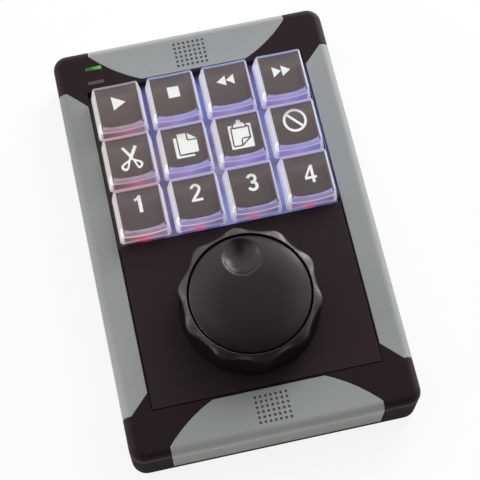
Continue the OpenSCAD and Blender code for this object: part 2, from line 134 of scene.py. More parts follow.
# where tones change over the case and the keys: from and to, in millimetres
zones = {
    "glowFront": (-1.0, 1.0), "glowCorner": (34.0, 37.0), "glowRear": (48.5, 54.5), "glowTop": (18.2, 19.5),
    "glowSide": (38.6, 38.8), "wellFoot": (14.0, 16.0), "glowMiddle": (17.0, 21.0), "glowFar": (33.0, 39.0),
    "pastLeft": (-20.5, -18.5), "farRight": (18.5, 20.5), "pastNear": (17.2, 18.2), "rearRow": (37.0, 37.6),
    "dimplesSide": (5.8, 5.9), "dimplesNear": (60.2, 60.3), "dimplesFar": (70.2, 70.3),
    "dimplesTop": (19.3, 19.52), "lens": (11.0, 11.9), "litBar": (62.5, 64.5), "barEnd": (-36.0, -31.8),
}


class Finish(Tree):
    # a material or the world; a colour of three numbers is a screen colour
    def __init__(self, name, owner=None):
        self.material = owner or bpy.data.materials.new(name)
        self.material.use_nodes = True
        self.tree = self.material.node_tree
        self.tree.nodes.clear()

    def place(self):
        return self.node("ShaderNodeTexCoord", {}, {}, "Object")

    def attribute(self, name, out):
        return self.node("ShaderNodeAttribute", {"attribute_name": name}, {}, out)

    def noise(self, vector, scale, detail=2.0, roughness=0.5):
        return self.node("ShaderNodeTexNoise", {},
                         {"Vector": vector, "Scale": scale, "Detail": detail, "Roughness": roughness})

    def step(self, value, low, high):
        # 0 below low, 1 above high, smooth between
        return self.node("ShaderNodeMapRange", {"interpolation_type": "SMOOTHSTEP"},
                         {"Value": value, "From Min": low, "From Max": high})

    def fall(self, value, low, high):
        # 1 below low, 0 above high
        return 1.0 - self.step(value, low, high)

    def zone(self, value, name):
        return self.step(value, zones[name][0] * mm, zones[name][1] * mm)

    def size(self, value):
        return self.node("ShaderNodeMath", {"operation": "ABSOLUTE"}, {0: value})

    def mix(self, share, first, second):
        values = {0: share, 6: paint(first), 7: paint(second)}
        return self.node("ShaderNodeMix", {"data_type": "RGBA"}, values, 2)

    def ramp(self, value, stops):
        return self.node("ShaderNodeValToRGB", {"stops": stops}, {0: value})

    def stretch(self, vector, scale):
        return self.node("ShaderNodeMapping", {}, {"Vector": vector, "Scale": scale})

    def bump(self, height, distance, strength=1.0):
        return self.node("ShaderNodeBump", {}, {
            "Height": height, "Distance": distance, "Strength": strength,
        })

    def blend(self, share, first, second):
        both = self.node("ShaderNodeMixShader", {}, {0: share, 1: first, 2: second})
        self.node("ShaderNodeOutputMaterial", {}, {"Surface": both})
        return self.material

    def skin(self, values):
        shader = self.node("ShaderNodeBsdfPrincipled", {}, values)
        self.node("ShaderNodeOutputMaterial", {}, {"Surface": shader})
        return self.material


# the key lights' glow painted between the keys, from the left edge of their block to the right one
paintedGlowHues = {
    "near": [(0.03, (54, 42, 42)), (0.12, (66, 52, 60)), (0.25, (100, 96, 134)),
             (0.5, (120, 130, 188)), (0.75, (124, 134, 192)), (0.97, (92, 92, 140))],
    "middle": [(0.03, (54, 42, 42)), (0.12, (74, 56, 64)), (0.25, (112, 97, 118)),
               (0.5, (138, 126, 156)), (0.75, (128, 128, 178)), (0.97, (104, 118, 186))],
    "rear": [(0.03, (46, 38, 38)), (0.12, (60, 50, 56)), (0.25, (84, 86, 136)),
             (0.5, (100, 112, 176)), (0.75, (104, 106, 170)), (0.97, (84, 92, 150))],
    "patch": (84, 78, 128),
}


def paintedKeyGlow(finish, place):
    # the key lights' glow painted on as an emission colour, with darker bluer painted patches in it; none
    # beyond the block of keys or above their well
    x, y, z = finish.axes(place)
    block = finish.zone(y - finish.zone(x, "glowCorner") * 2.0 * mm, "glowFront")
    deep = 1.0 - finish.zone(z, "wellFoot")
    block = block * (1.0 - finish.zone(y - deep * 7.0 * mm, "glowRear"))
    block = block * (1.0 - finish.zone(z, "glowTop")) * (1.0 - finish.zone(finish.size(x), "glowSide"))
    share = (x + 40.0 * mm) / (80.0 * mm)
    hue = finish.ramp(share, paintedGlowHues["near"])
    hue = finish.mix(finish.zone(y, "glowMiddle"), hue, finish.ramp(share, paintedGlowHues["middle"]))
    hue = finish.mix(finish.zone(y, "glowFar"), hue, finish.ramp(share, paintedGlowHues["rear"]))
    patches = finish.step(finish.noise(place, 110.0), 0.42, 0.7) * finish.step(share, 0.08, 0.2)
    hue = finish.mix(patches * 0.8, hue, paintedGlowHues["patch"])
    return finish.mix(block, (0, 0, 0), hue)


def plasticFinish(name, colour, worn, roughness, specular, grain, depth, tint=(1.0, 0.86, 0.88, 1.0),
                  walls=None, skirt=None, lit=False, paintedShading=False):
    # moulded plastic with a fine sparked grain, slow tone changes and faintly polished patches
    finish = Finish(name)
    place = finish.place()
    x, y, up = finish.axes(place)
    slow = finish.noise(place, 38.0, 3.0, 0.6)
    fine = finish.noise(place, grain, 2.0, 0.6)
    specks = finish.noise(place, grain * 0.37, 1.0)
    tone = finish.mix(slow * 0.55 + specks * 0.35, colour, worn)
    rough = roughness - 0.06 + slow * 0.08 + fine * 0.05
    if walls:
        # the walls below that height are duller and have their own tone
        low = finish.fall(up, (walls[0] - 4.0) * mm, walls[0] * mm)
        rough = rough + low * 0.4
        tone = finish.mix(low * 0.6, tone, walls[1])
    if paintedShading:
        # painted shade along the left side makes it a little darker at the rear, and painted light makes it
        # paler at the front
        side = finish.fall(x, -46.0 * mm, -34.0 * mm)
        tone = finish.mix(side * finish.step(y, 0.0, 60.0 * mm) * 0.17, tone, (40, 38, 38))
        tone = finish.mix(side * finish.fall(y, -60.0 * mm, 0.0) * 0.06, tone, (255, 255, 250))
        # painted shade in the small dimples
        along = finish.size(y)
        field = (1.0 - finish.zone(finish.size(x), "dimplesSide")) * finish.zone(along, "dimplesNear")
        field = field * (1.0 - finish.zone(along, "dimplesFar")) * (1.0 - finish.zone(up, "dimplesTop"))
        tone = finish.mix(field, tone, (84, 85, 88))
    values = {
        "Base Color": tone, "Roughness": rough, "Specular IOR Level": specular, "Specular Tint": tint,
        "Normal": finish.bump(fine * 0.7 + specks * 0.5, depth),
    }
    # the key lights' glow painted into the case's key well as emission
    if lit:
        values.update({"Emission Color": paintedKeyGlow(finish, place), "Emission Strength": 1.0})
    if not skirt:
        return finish.skin(values)
    # matt and near black below that height
    high, dark, pale = skirt
    matt = finish.node("ShaderNodeBsdfPrincipled", {}, {
        "Base Color": finish.mix(slow * 0.6 + specks * 0.3, dark, pale), "Roughness": 0.75 + fine * 0.1,
        "Specular IOR Level": 0.05, "Normal": values["Normal"],
    })
    gloss = finish.node("ShaderNodeBsdfPrincipled", {}, values)
    return finish.blend(finish.step(up, (high - 0.7) * mm, high * mm), matt, gloss)


def metalFinish(name, colour, dull, roughness, lines):
    # turned or stamped metal with fine lines along Z
    finish = Finish(name)
    place = finish.place()
    streaks = finish.noise(finish.stretch(place, (lines, lines, lines * 0.06)), 1.0, 3.0, 0.6)
    blotches = finish.noise(place, 420.0, 3.0, 0.6)
    return finish.skin({
        "Base Color": finish.mix(blotches * 0.7, colour, dull), "Metallic": 1.0,
        "Roughness": roughness + streaks * 0.14 - 0.05, "Normal": finish.bump(streaks, 0.00001, 0.6),
    })


def glowFinish(name, body, light, strength):
    # a small lamp, brightest at its lens
    finish = Finish(name)
    place = finish.place()
    grain = finish.noise(place, 900.0)
    lens = finish.zone(finish.axes(place)[2], "lens")
    return finish.skin({
        "Base Color": finish.mix(grain * 0.3 + lens * 0.5, body, light), "Roughness": 0.3,
        "Emission Color": finish.mix(lens, (0, 0, 0), light), "Emission Strength": strength,
    })


caseLook = ((32, 22, 25), (40, 29, 32), 0.44, 0.15, 2600.0, 0.00003)
caseSkirt = (17.2, (25, 19, 17), (34, 27, 25))
ringSkirt = (32.9, (14, 11, 12), (24, 19, 20))
greyWalls = (17.0, (158, 154, 151))
caseBlack = plasticFinish("caseBlack", *caseLook, skirt=caseSkirt)
# the top case, with the key lights' glow painted into its key well
caseLit = plasticFinish("caseLit", *caseLook, skirt=caseSkirt, lit=True)
panelBlack = plasticFinish("panelBlack", (36, 25, 29), (45, 33, 37), 0.48, 0.22, 3400.0, 0.00002)
trimGrey = plasticFinish("trimGrey", (143, 147, 148), (153, 157, 157), 0.46, 0.4, 2400.0, 0.00003,
                         (1.0, 1.0, 1.0, 1.0), walls=greyWalls, paintedShading=True)
ringBlack = plasticFinish("ringBlack", (17, 12, 13), (26, 21, 22), 0.36, 0.75, 2600.0, 0.00001,
                          skirt=ringSkirt)
chipBlack = plasticFinish("chipBlack", (26, 26, 28), (44, 44, 46), 0.6, 0.3, 3200.0, 0.00004)
sensorGrey = plasticFinish("sensorGrey", (52, 55, 60), (72, 75, 80), 0.45, 0.4, 1800.0, 0.00003)
footRubber = plasticFinish("footRubber", (24, 24, 25), (38, 37, 36), 0.78, 0.22, 1500.0, 0.00006)
steelBright = metalFinish("steelBright", (196, 199, 203), (150, 153, 158), 0.24, 1600.0)
steelScrew = metalFinish("steelScrew", (150, 152, 156), (98, 99, 102), 0.34, 1200.0)
steelSpring = metalFinish("steelSpring", (172, 177, 183), (120, 124, 130), 0.28, 2200.0)
nutBrass = metalFinish("nutBrass", (204, 180, 122), (150, 128, 80), 0.3, 900.0)
ledBlue = glowFinish("ledBlue", (214, 214, 222), (70, 84, 255), 2.5)
ledRed = glowFinish("ledRed", (214, 214, 222), (255, 44, 96), 2.5)
ledGreen = glowFinish("ledGreen", (150, 158, 150), (60, 130, 60), 0.3)
print("plastics and metals mixed")


def wheelFinish(name, centreX, centreY, crown, dimpleOut):
    # satin wheel whose top reads as slightly crowned
    finish = Finish(name)
    place = finish.place()
    slow = finish.noise(place, 60.0, 3.0, 0.6)
    fine = finish.noise(place, 3000.0, 2.0, 0.6)
    x, y, z = finish.axes(place)
    across = x - centreX
    deep = y - centreY
    reach = (across * across + deep * deep) / (0.02 * 0.02)
    rise = reach * reach * -crown + fine * 0.000012
    # the finger dimple is rubbed by use
    apart = deep - dimpleOut
    rubbed = finish.fall((across * across + apart * apart) * 1000000.0, 36.0, 46.0)
    return finish.skin({
        "Base Color": finish.mix(slow * 0.5 + fine * 0.3, (24, 15, 19), (36, 26, 30)),
        "Roughness": 0.28 + slow * 0.06 + fine * 0.04 - rubbed * 0.05, "Specular IOR Level": 0.5,
        "Specular Tint": (1.0, 0.86, 0.88, 1.0), "Normal": finish.bump(rise, 1.0),
    })


def linked(name, data):
    piece = bpy.data.objects.new(name, data)
    bpy.context.scene.collection.objects.link(piece)
    return piece


def addMesh(name, points, faces, finish):
    mesh = bpy.data.meshes.new(name)
    mesh.from_pydata([(x * mm, y * mm, z * mm) for x, y, z in points], [], faces)
    mesh.materials.append(finish)
    return linked(name, mesh)


def smoothed(piece, under):
    # smooth, but sharp where two faces meet at more than that angle
    for face in piece.data.polygons:
        face.use_smooth = True
    piece.data.set_sharp_from_angle(angle=math.radians(under))
    return piece


def faceOut(piece, merge=True):
    shape = bmesh.new()
    shape.from_mesh(piece.data)
    if merge:
        bmesh.ops.remove_doubles(shape, verts=shape.verts, dist=0.0005 * mm)
    bmesh.ops.recalc_face_normals(shape, faces=shape.faces)
    shape.to_mesh(piece.data)
    shape.free()
    return piece


def settled(piece, name):
    # the piece as its modifiers leave it, as one plain mesh
    depsgraph = bpy.context.evaluated_depsgraph_get()
    mesh = bpy.data.meshes.new_from_object(piece.evaluated_get(depsgraph))
    mesh.name = name
    piece.modifiers.clear()
    old = piece.data
    piece.data = mesh
    piece.name = name
    if old.users == 0:
        bpy.data.meshes.remove(old)
    return piece


def weighted(piece, name, smoothUnder):
    # flat faces stay flat, and only the edges between them round the light
    smoothed(piece, smoothUnder)
    flatter = piece.modifiers.new("flatter", "WEIGHTED_NORMAL")
    flatter.keep_sharp = True
    flatter.weight = 100
    return settled(piece, name)


def put(piece, body, slotName, *stoodFor):
    if stoodFor:
        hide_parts(*stoodFor)
    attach(piece, body)
    return piece


class Shaper(Tree):
    # a tree of geometry nodes with named inputs, which ends in Realize Instances and Set Material
    def __init__(self, name, inputs):
        self.tree = bpy.data.node_groups.new(name, "GeometryNodeTree")
        face = self.tree.interface
        for way in ("INPUT", "OUTPUT"):
            face.new_socket(name="Geometry", in_out=way, socket_type="NodeSocketGeometry")
        for label, kind in inputs.items():
            face.new_socket(name=label, in_out="INPUT", socket_type="NodeSocket" + kind)
        self.start = self.tree.nodes.new("NodeGroupInput")
        self.end = self.tree.nodes.new("NodeGroupOutput")

    def given(self, label):
        return Signal(self.tree, self.start.outputs[label])

    def vector(self, operation, values):
        return self.node("ShaderNodeVectorMath", {"operation": operation}, values)

    def close(self, geometry):
        real = self.node("GeometryNodeRealizeInstances", {}, {0: geometry})
        last = self.node("GeometryNodeSetMaterial", {}, {0: real, "Material": self.given("finish")})
        self.tree.links.new(last.socket, self.end.inputs[0])

    def shape(self, piece, values, name):
        modifier = piece.modifiers.new(self.tree.name, "NODES")
        modifier.node_group = self.tree
        for item in self.tree.interface.items_tree:
            if item.in_out == "INPUT" and item.name in values:
                modifier[item.identifier] = values[item.name]
        return settled(piece, name)


# how far each kind of case piece has its edges rounded
softEdges = {"shell": 0.12, "strip": 0.14, "plate": 0.15}


def moulded(node, kind, finish, ceiling=False):
    # the node's own shape with softened edges and smooth curves
    name = node + "_" + kind
    shape = bmesh.new()
    shape.from_mesh(nodes[node].data)
    bmesh.ops.remove_doubles(shape, verts=shape.verts, dist=0.001 * mm)
    # a ceiling with a wide hole keeps its triangles
    kept = {face for face in shape.faces if ceiling and face.normal.z < -0.99}
    edges = [edge for edge in shape.edges if not kept.issuperset(edge.link_faces) or not kept]
    verts = [vert for vert in shape.verts if kept.isdisjoint(vert.link_faces)]
    bmesh.ops.dissolve_limit(shape, angle_limit=math.radians(0.5), verts=verts, edges=edges)
    mesh = bpy.data.meshes.new(name)
    shape.to_mesh(mesh)
    shape.free()
    mesh.materials.clear()
    mesh.materials.append(finish)
    for face in mesh.polygons:
        face.use_smooth = True
    piece = linked(name, mesh)
    bevel = piece.modifiers.new("softEdges", "BEVEL")
    bevel.width = softEdges[kind] * mm
    bevel.segments = 2
    bevel.limit_method = "ANGLE"
    bevel.angle_limit = math.radians(28)
    bevel.use_clamp_overlap = False
    settled(piece, name)
    return weighted(piece, name, 40)


# the case, its side trims and the dial panel
casePieces = {
    "bottom_case": ("shell", caseBlack, "case_black"), "top_case": ("shell", caseLit, "case_black"),
    "dial_panel": ("plate", panelBlack, "panel_black"),
    "left_trim": ("strip", trimGrey, "trim_grey"), "right_trim": ("strip", trimGrey, "trim_grey"),
}
for name, (kind, finish, slotName) in casePieces.items():
    put(moulded(name, kind, finish, name == "top_case"), "case", slotName, name)

# a square field of small dimples in each end trim
dimpleField = {
    "columns": 7, "rows": 6, "pitch": 1.7, "radius": 0.54, "depth": 0.36, "rearY": 65.2, "frontY": -65.4,
}
dimpler = Shaper("dimpleField", {
    "columns": "Int", "rows": "Int", "pitch": "Float", "ballRadius": "Float", "centre": "Vector",
    "finish": "Material",
})
columns = dimpler.given("columns")
rows = dimpler.given("rows")
pitch = dimpler.given("pitch")
spots = dimpler.node("GeometryNodeMeshGrid", {}, {
    "Size X": (columns - 1.0) * pitch, "Vertices X": columns,
    "Size Y": (rows - 1.0) * pitch, "Vertices Y": rows,
})
spots = dimpler.node("GeometryNodeTransform", {}, {0: spots, "Translation": dimpler.given("centre")})
ball = dimpler.node("GeometryNodeMeshUVSphere", {}, {
    "Segments": 12, "Rings": 10, "Radius": dimpler.given("ballRadius"),
})
balls = dimpler.node("GeometryNodeInstanceOnPoints", {}, {"Points": spots, "Instance": ball})
balls = dimpler.node("GeometryNodeRealizeInstances", {}, {0: balls})
cutOut = dimpler.node("GeometryNodeMeshBoolean", {"operation": "DIFFERENCE", "solver": "EXACT"}, {
    "Mesh 1": dimpler.given("Geometry"), "Mesh 2": balls,
})
dimpler.close(cutOut)
ballRadius = (dimpleField["radius"] ** 2 + dimpleField["depth"] ** 2) / (2 * dimpleField["depth"])
for end in ("rear", "front"):
    name = end + "_trim"
    endTrim = moulded(name, "strip", trimGrey)
    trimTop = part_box(name)[1].z
    dimpler.shape(endTrim, {
        "columns": dimpleField["columns"], "rows": dimpleField["rows"], "pitch": dimpleField["pitch"] * mm,
        "ballRadius": ballRadius * mm, "finish": trimGrey,
        "centre": (0.0, dimpleField[end + "Y"] * mm, trimTop + (ballRadius - dimpleField["depth"]) * mm),
    }, endTrim.name)
    weighted(endTrim, endTrim.name, 24)
    put(endTrim, "case", "trim_grey", name)
print("case and trims moulded")


def revolved(name, profile, steps, finish, centre=(0.0, 0.0), closed=True):
    # a profile of (radius, height) turned round an upright axis; a radius of 0 closes it
    cx, cy = centre
    points = []
    rings = []
    for radius, height in profile:
        if radius == 0:
            rings.append([len(points)] * steps)
            points.append((cx, cy, height))
            continue
        rings.append(list(range(len(points), len(points) + steps)))
        for turn in range(steps):
            angle = 2 * math.pi * turn / steps
            points.append((cx + radius * math.cos(angle), cy + radius * math.sin(angle), height))
    faces = []
    last = len(rings) if closed else len(rings) - 1
    for ring in range(last):
        low = rings[ring]
        high = rings[(ring + 1) % len(rings)]
        for turn in range(steps):
            after = (turn + 1) % steps
            corners = [low[turn], low[after], high[after], high[turn]]
            kept = [c for place, c in enumerate(corners) if c not in corners[:place]]
            if len(kept) > 2:
                faces.append(kept)
    return addMesh(name, points, faces, finish)


# the dial: shuttle ring and jog wheel
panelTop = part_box("top_case")[1].z / mm
wheelLow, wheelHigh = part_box("jog_wheel")
dialX = (wheelLow.x + wheelHigh.x) / 2 / mm
dialY = (wheelLow.y + wheelHigh.y) / 2 / mm
dialTop = wheelHigh.z / mm
ringSizes = {"lobeCount": 10, "lobeDepth": 0.76, "lobeSharpness": 0.09, "lobeTurn": 17.15, "steps": 360}
# radius, height above the case top, and how far the lobes show there
ringOutside = [
    (20.32, 13.4, 0.0), (20.32, 13.95, 0.0), (20.4, 14.2, 0.0), (20.56, 14.3, 0.0), (20.76, 14.22, 0.0),
    (21.28, 13.84, 0.3), (21.8, 13.45, 0.61), (22.34, 13.03, 0.92), (22.51, 12.86, 0.98), (22.6, 12.6, 1.0),
    (22.62, 12.0, 1.0), (22.64, 11.0, 0.96), (22.68, 9.4, 0.86), (22.74, 7.8, 0.7), (22.84, 6.2, 0.5),
    (22.98, 4.6, 0.3), (23.12, 3.2, 0.14), (23.28, 1.8, 0.04), (23.38, 0.8, 0.0), (23.36, 0.5, 0.0),
    (23.2, 0.4, 0.0),
]
ringInside = [
    (20.6, 0.4), (20.42, 0.55), (20.4, 4.7), (20.2, 4.9), (6.95, 4.9), (6.8, 4.75), (6.8, 2.85), (6.6, 2.65),
    (4.75, 2.65), (4.55, 2.85), (4.55, 6.7), (4.75, 6.9), (20.4, 6.9), (20.6, 7.1), (20.6, 10.5),
    (20.6, 13.0),
]
ringProfile = ringOutside + [(radius, height, 0.0) for radius, height in ringInside]
shuttleRing = revolved("shuttle_ring_lobed", [(r, panelTop + h) for r, h, share in ringProfile],
                       ringSizes["steps"], ringBlack, (dialX, dialY))
shares = shuttleRing.data.attributes.new("lobeShare", "FLOAT", "POINT")
for ring, (radius, height, share) in enumerate(ringProfile):
    for turn in range(ringSizes["steps"]):
        shares.data[ring * ringSizes["steps"] + turn].value = share
smoothed(faceOut(shuttleRing), 50)
lober = Shaper("shuttleLobes", {
    "lobeCount": "Float", "lobeDepth": "Float", "lobeSharpness": "Float", "lobeTurn": "Float",
    "centre": "Vector", "finish": "Material",
})
position = lober.node("GeometryNodeInputPosition", {}, {})
flat = lober.vector("MULTIPLY", {
    0: lober.vector("SUBTRACT", {0: position, 1: lober.given("centre")}), 1: (1.0, 1.0, 0.0),
})
outward = lober.vector("NORMALIZE", {0: flat})
outX, outY = lober.axes(outward)[:2]
phase = (outY.apply("ARCTAN2", outX) + lober.given("lobeTurn")) * lober.given("lobeCount")
doubled = phase * 2.0
wave = phase.apply("COSINE") * lober.given("lobeDepth")
wave = wave + doubled.apply("COSINE") * lober.given("lobeSharpness")
wave = wave * lober.node("GeometryNodeInputNamedAttribute", {"data_type": "FLOAT"}, {"Name": "lobeShare"})
shift = lober.vector("SCALE", {0: outward, "Scale": wave})
lober.close(lober.node("GeometryNodeSetPosition", {}, {0: lober.given("Geometry"), "Offset": shift}))
lober.shape(shuttleRing, {
    "lobeCount": float(ringSizes["lobeCount"]), "lobeDepth": ringSizes["lobeDepth"] * mm,
    "lobeSharpness": ringSizes["lobeSharpness"] * mm, "lobeTurn": math.radians(ringSizes["lobeTurn"]),
    "centre": (dialX * mm, dialY * mm, 0.0), "finish": ringBlack,
}, "shuttle_ring_lobed")
shuttleRing.data.set_sharp_from_angle(angle=math.radians(50))
put(shuttleRing, "shuttle", "ring_grey", "shuttle_ring")

wheelSizes = {
    "radius": 19.95, "edge": 0.45, "crown": 0.35, "thick": 4.4, "hub": 5.5, "hubDrop": 2.0, "bore": 3.02,
    "boreTop": 2.0, "dimple": 6.45, "dimpleDepth": 2.6, "dimpleOut": 12.75, "dimpleSoft": 0.35,
    "steps": 300, "rings": 66,
}
wheelBlack = wheelFinish("wheelBlack", dialX * mm, dialY * mm, 2.4 * mm, wheelSizes["dimpleOut"] * mm)


def wheelTop(x, y):
    # how far the top lies below its highest point: a slight crown, and the finger dimple with a softened rim
    crown = wheelSizes["crown"] * (x * x + y * y) / wheelSizes["radius"] ** 2
    ballR = (wheelSizes["dimple"] ** 2 + wheelSizes["dimpleDepth"] ** 2) / (2 * wheelSizes["dimpleDepth"])
    away = math.hypot(x, y - wheelSizes["dimpleOut"])
    if away < ballR:
        depth = math.sqrt(ballR * ballR - away * away) - (ballR - wheelSizes["dimpleDepth"])
    else:
        depth = -ballR
    soft = wheelSizes["dimpleSoft"]
    if depth > soft:
        return crown + depth
    if depth < -soft:
        return crown
    return crown + (depth + soft) ** 2 / (4 * soft)


def makeWheel():
    sizes = wheelSizes
    radius, edge, hub, bore, steps = (sizes[key] for key in ("radius", "edge", "hub", "bore", "steps"))
    flatR = radius - edge
    profile = [(0, None)]
    for ring in range(1, sizes["rings"] + 1):
        profile.append((flatR * ring / sizes["rings"], None))
    for turn in range(1, 7):
        lean = math.radians(90 * turn / 6)
        drop = sizes["crown"] + edge * (1 - math.cos(lean))
        profile.append((flatR + edge * math.sin(lean), dialTop - drop))
    low = dialTop - sizes["thick"]
    hubLow = low - sizes["hubDrop"]
    boreTop = dialTop - sizes["boreTop"]
    profile += [
        (radius, low + 2.0), (radius, low + 0.25), (radius - 0.25, low), (hub + 0.2, low), (hub, low - 0.2),
        (hub, hubLow + 0.2), (hub - 0.2, hubLow), (bore + 0.15, hubLow), (bore, hubLow + 0.15),
        (bore, boreTop), (0, boreTop),
    ]
    piece = revolved("jog_wheel_dished", [(r, dialTop if h is None else h) for r, h in profile],
                     steps, wheelBlack, (dialX, dialY), closed=False)
    for place in range(1 + sizes["rings"] * steps):
        point = piece.data.vertices[place].co
        point.z -= wheelTop(point.x / mm - dialX, point.y / mm - dialY) * mm
    return smoothed(faceOut(piece), 50)


put(makeWheel(), "jog", "wheel_black", "jog_wheel")
print("dial turned")


def onPoints(name, points, model, finish, slotName, stoodFor):
    # the same small part at several places, as one mesh
    copier = Shaper(name, {"part": "Object", "finish": "Material"})
    part = copier.node("GeometryNodeObjectInfo", {"transform_space": "ORIGINAL"},
                       {0: copier.given("part")}, "Geometry")
    copier.close(copier.node("GeometryNodeInstanceOnPoints", {}, {
        "Points": copier.given("Geometry"), "Instance": part,
    }))
    piece = addMesh(name, points, [], finish)
    copier.shape(piece, {"part": model, "finish": finish}, name)
    smoothed(piece, 35)
    mesh = model.data
    bpy.data.objects.remove(model)
    bpy.data.meshes.remove(mesh)
    return put(piece, "case", slotName, stoodFor)


# feet: moulded discs with a shallow dish and a rounded rim
footSizes = {"dish": 0.25, "x": 36.205, "y": 56.0}
footProfile = [
    (0, footSizes["dish"]), (3.4, footSizes["dish"]), (3.8, 0.06), (3.95, 0.0), (4.5, 0.0), (4.75, 0.06),
    (4.92, 0.22), (5.0, 0.45), (5.0, 1.6), (4.9, 1.7), (0, 1.7),
]
foot = smoothed(faceOut(revolved("footModel", footProfile, 56, footRubber, closed=False)), 40)
footPlaces = [(x * footSizes["x"], y * footSizes["y"], 0.0) for x in (-1, 1) for y in (-1, 1)]
onPoints("rubber_feet_moulded", footPlaces, foot, footRubber, "foot_rubber", "rubber_feet")

# screws: how far the head reaches down, the thread, and the cross in the head
screwSizes = {
    "head": 2.2, "headHigh": 1.6, "long": 6.6, "core": 0.9, "thread": 1.1, "pitch": 0.55,
    "crossLong": 2.3, "crossWide": 0.5, "crossDeep": 1.6, "crossTaper": 0.55,
}


def makeScrew(name, up):
    # pan head with a cross recess and a rolled thread; the head's top is at 0 and faces down unless up
    sizes = screwSizes
    head, under, core, thread = (sizes[key] for key in ("head", "headHigh", "core", "thread"))
    tip = under + sizes["long"]
    profile = [(0, 0.0), (1.3, 0.02), (1.75, 0.12), (2.05, 0.34), (head, 0.7), (head, 1.45),
               (head - 0.1, under), (thread, under)]
    height = under + 0.15
    while height < tip - 0.7:
        profile += [(core, height), (thread, height + 0.2), (thread, height + 0.26), (core, height + 0.46)]
        height += sizes["pitch"]
    profile += [(0.75, tip - 0.15), (0.35, tip), (0, tip)]
    screw = smoothed(faceOut(revolved(name, profile, 24, steelScrew, closed=False)), 35)
    arms = bmesh.new()
    arm = Matrix.Diagonal((sizes["crossLong"] * mm, sizes["crossWide"] * mm, sizes["crossDeep"] * mm, 1.0))
    for turn in (0, 90):
        made = bmesh.ops.create_cube(arms, size=1.0)["verts"]
        bmesh.ops.transform(arms, matrix=Matrix.Rotation(math.radians(turn), 4, "Z") @ arm, verts=made)
    for vert in arms.verts:
        if vert.co.z > 0:
            vert.co.x *= sizes["crossTaper"]
            vert.co.y *= sizes["crossTaper"]
    mesh = bpy.data.meshes.new("recess")
    arms.to_mesh(mesh)
    arms.free()
    cutter = linked("recess", mesh)
    cut = screw.modifiers.new("recess", "BOOLEAN")
    cut.object = cutter
    cut.operation = "DIFFERENCE"
    cut.solver = "EXACT"
    cut.use_self = True
    settled(screw, name)
    bpy.data.objects.remove(cutter)
    bpy.data.meshes.remove(mesh)
    if up:
        screw.data.transform(Matrix.Rotation(math.pi, 4, "X"))
    return screw


caseLow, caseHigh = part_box("case_screws")
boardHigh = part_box("board_screws")[1]
caseX = caseHigh.x / mm - screwSizes["head"]
caseY = caseHigh.y / mm - screwSizes["head"]
boardX = boardHigh.x / mm - screwSizes["head"]
boardRows = (-53.3, -4.5, 53.4)
casePlaces = [(x, y, caseLow.z / mm) for x in (-caseX, caseX) for y in (-caseY, caseY)]
boardPlaces = [(x, y, boardHigh.z / mm) for x in (-boardX, boardX) for y in boardRows]
for kind, places, up in (("case", casePlaces, False), ("board", boardPlaces, True)):
    screw = makeScrew(kind + "ScrewModel", up)
    onPoints(kind + "_screws_cross", places, screw, steelScrew, "screw_steel", kind + "_screws")
print("feet and screws placed")


# inner parts keep their own shape
def finishNode(name, finish):
    nodes[name].data.materials.clear()
    nodes[name].data.materials.append(finish)


def boardFinish():
    # solder mask with faint tracks, with the key lights' glow painted on as emission
    finish = Finish("boardGreen")
    place = finish.place()
    tracks = finish.node("ShaderNodeTexBrick", {"offset": 0.37}, {
        "Vector": place, "Scale": 210.0, "Mortar Size": 0.06, "Bias": 0.1,
        "Color1": paint((15, 40, 30)), "Color2": paint((18, 46, 34)), "Mortar": paint((44, 82, 58)),
    })
    blotches = finish.noise(place, 300.0, 3.0)
    return finish.skin({
        "Base Color": finish.mix(blotches * 0.5, tracks, (20, 44, 44)), "Roughness": 0.34,
        "Emission Color": paintedKeyGlow(finish, place), "Emission Strength": 1.0,
        "Normal": finish.bump(tracks.other(1), 0.00003, 0.7),
    })


def housingFinish():
    # switch housings, with the key lights' glow painted on as emission
    finish = Finish("switchBlack")
    place = finish.place()
    grain = finish.noise(place, 2000.0, 2.0, 0.6)
    return finish.skin({
        "Base Color": finish.mix(grain, (34, 33, 44), (46, 44, 60)), "Roughness": 0.45 + grain * 0.1,
        "Emission Color": paintedKeyGlow(finish, place), "Emission Strength": 0.6,
        "Normal": finish.bump(grain, 0.00003),
    })


def lightPipeFinish():
    # clear moulding, lit green at the rear bar and dark at the other
    finish = Finish("lightPipe")
    place = finish.place()
    x, y, z = finish.axes(place)
    lit = finish.zone(y, "litBar")
    end = finish.zone(x, "barEnd")
    mottle = finish.noise(place, 900.0)
    green = finish.mix(end * 0.8 + mottle * 0.3 - 0.1, (26, 88, 32), (98, 178, 70))
    glow = finish.mix(lit, (0, 0, 0), green)
    return finish.skin({
        "Base Color": finish.mix(lit, finish.mix(mottle, (66, 58, 59), (84, 78, 78)), green),
        "Roughness": 0.22 + mottle * 0.1, "Emission Color": glow, "Emission Strength": 0.15,
    })


innerFinishes = {
    "main_board": boardFinish(), "controller_chip": chipBlack, "switch_housings": housingFinish(),
    "blue_leds": ledBlue, "red_leds": ledRed, "indicator_leds": ledGreen, "light_pipe": lightPipeFinish(),
    "dial_sensor": sensorGrey, "sensor_nut": nutBrass, "shuttle_spring": steelSpring,
    "jog_shaft": steelBright, "cable_inlet": steelBright,
}
for name, finish in innerFinishes.items():
    finishNode(name, finish)
print("inner parts finished")


# key caps: clear dished boxes, bright along their walls and open to the printed film below
capSizes = {
    "lean": 1.0, "rimCorner": 1.2, "topCorner": 0.9, "wall": 0.95, "dish": 1.2, "rearFlat": 0.8, "edge": 0.45,
    "ridgeBelow": 2.5, "ridgeOut": 0.12, "ridgeWide": 0.3, "cornerSteps": 5, "sideSteps": 12,
}
keyNames = [
    "play", "stop", "rewind", "forward", "cut", "copy", "paste", "cancel", "one", "two", "three", "four",
]
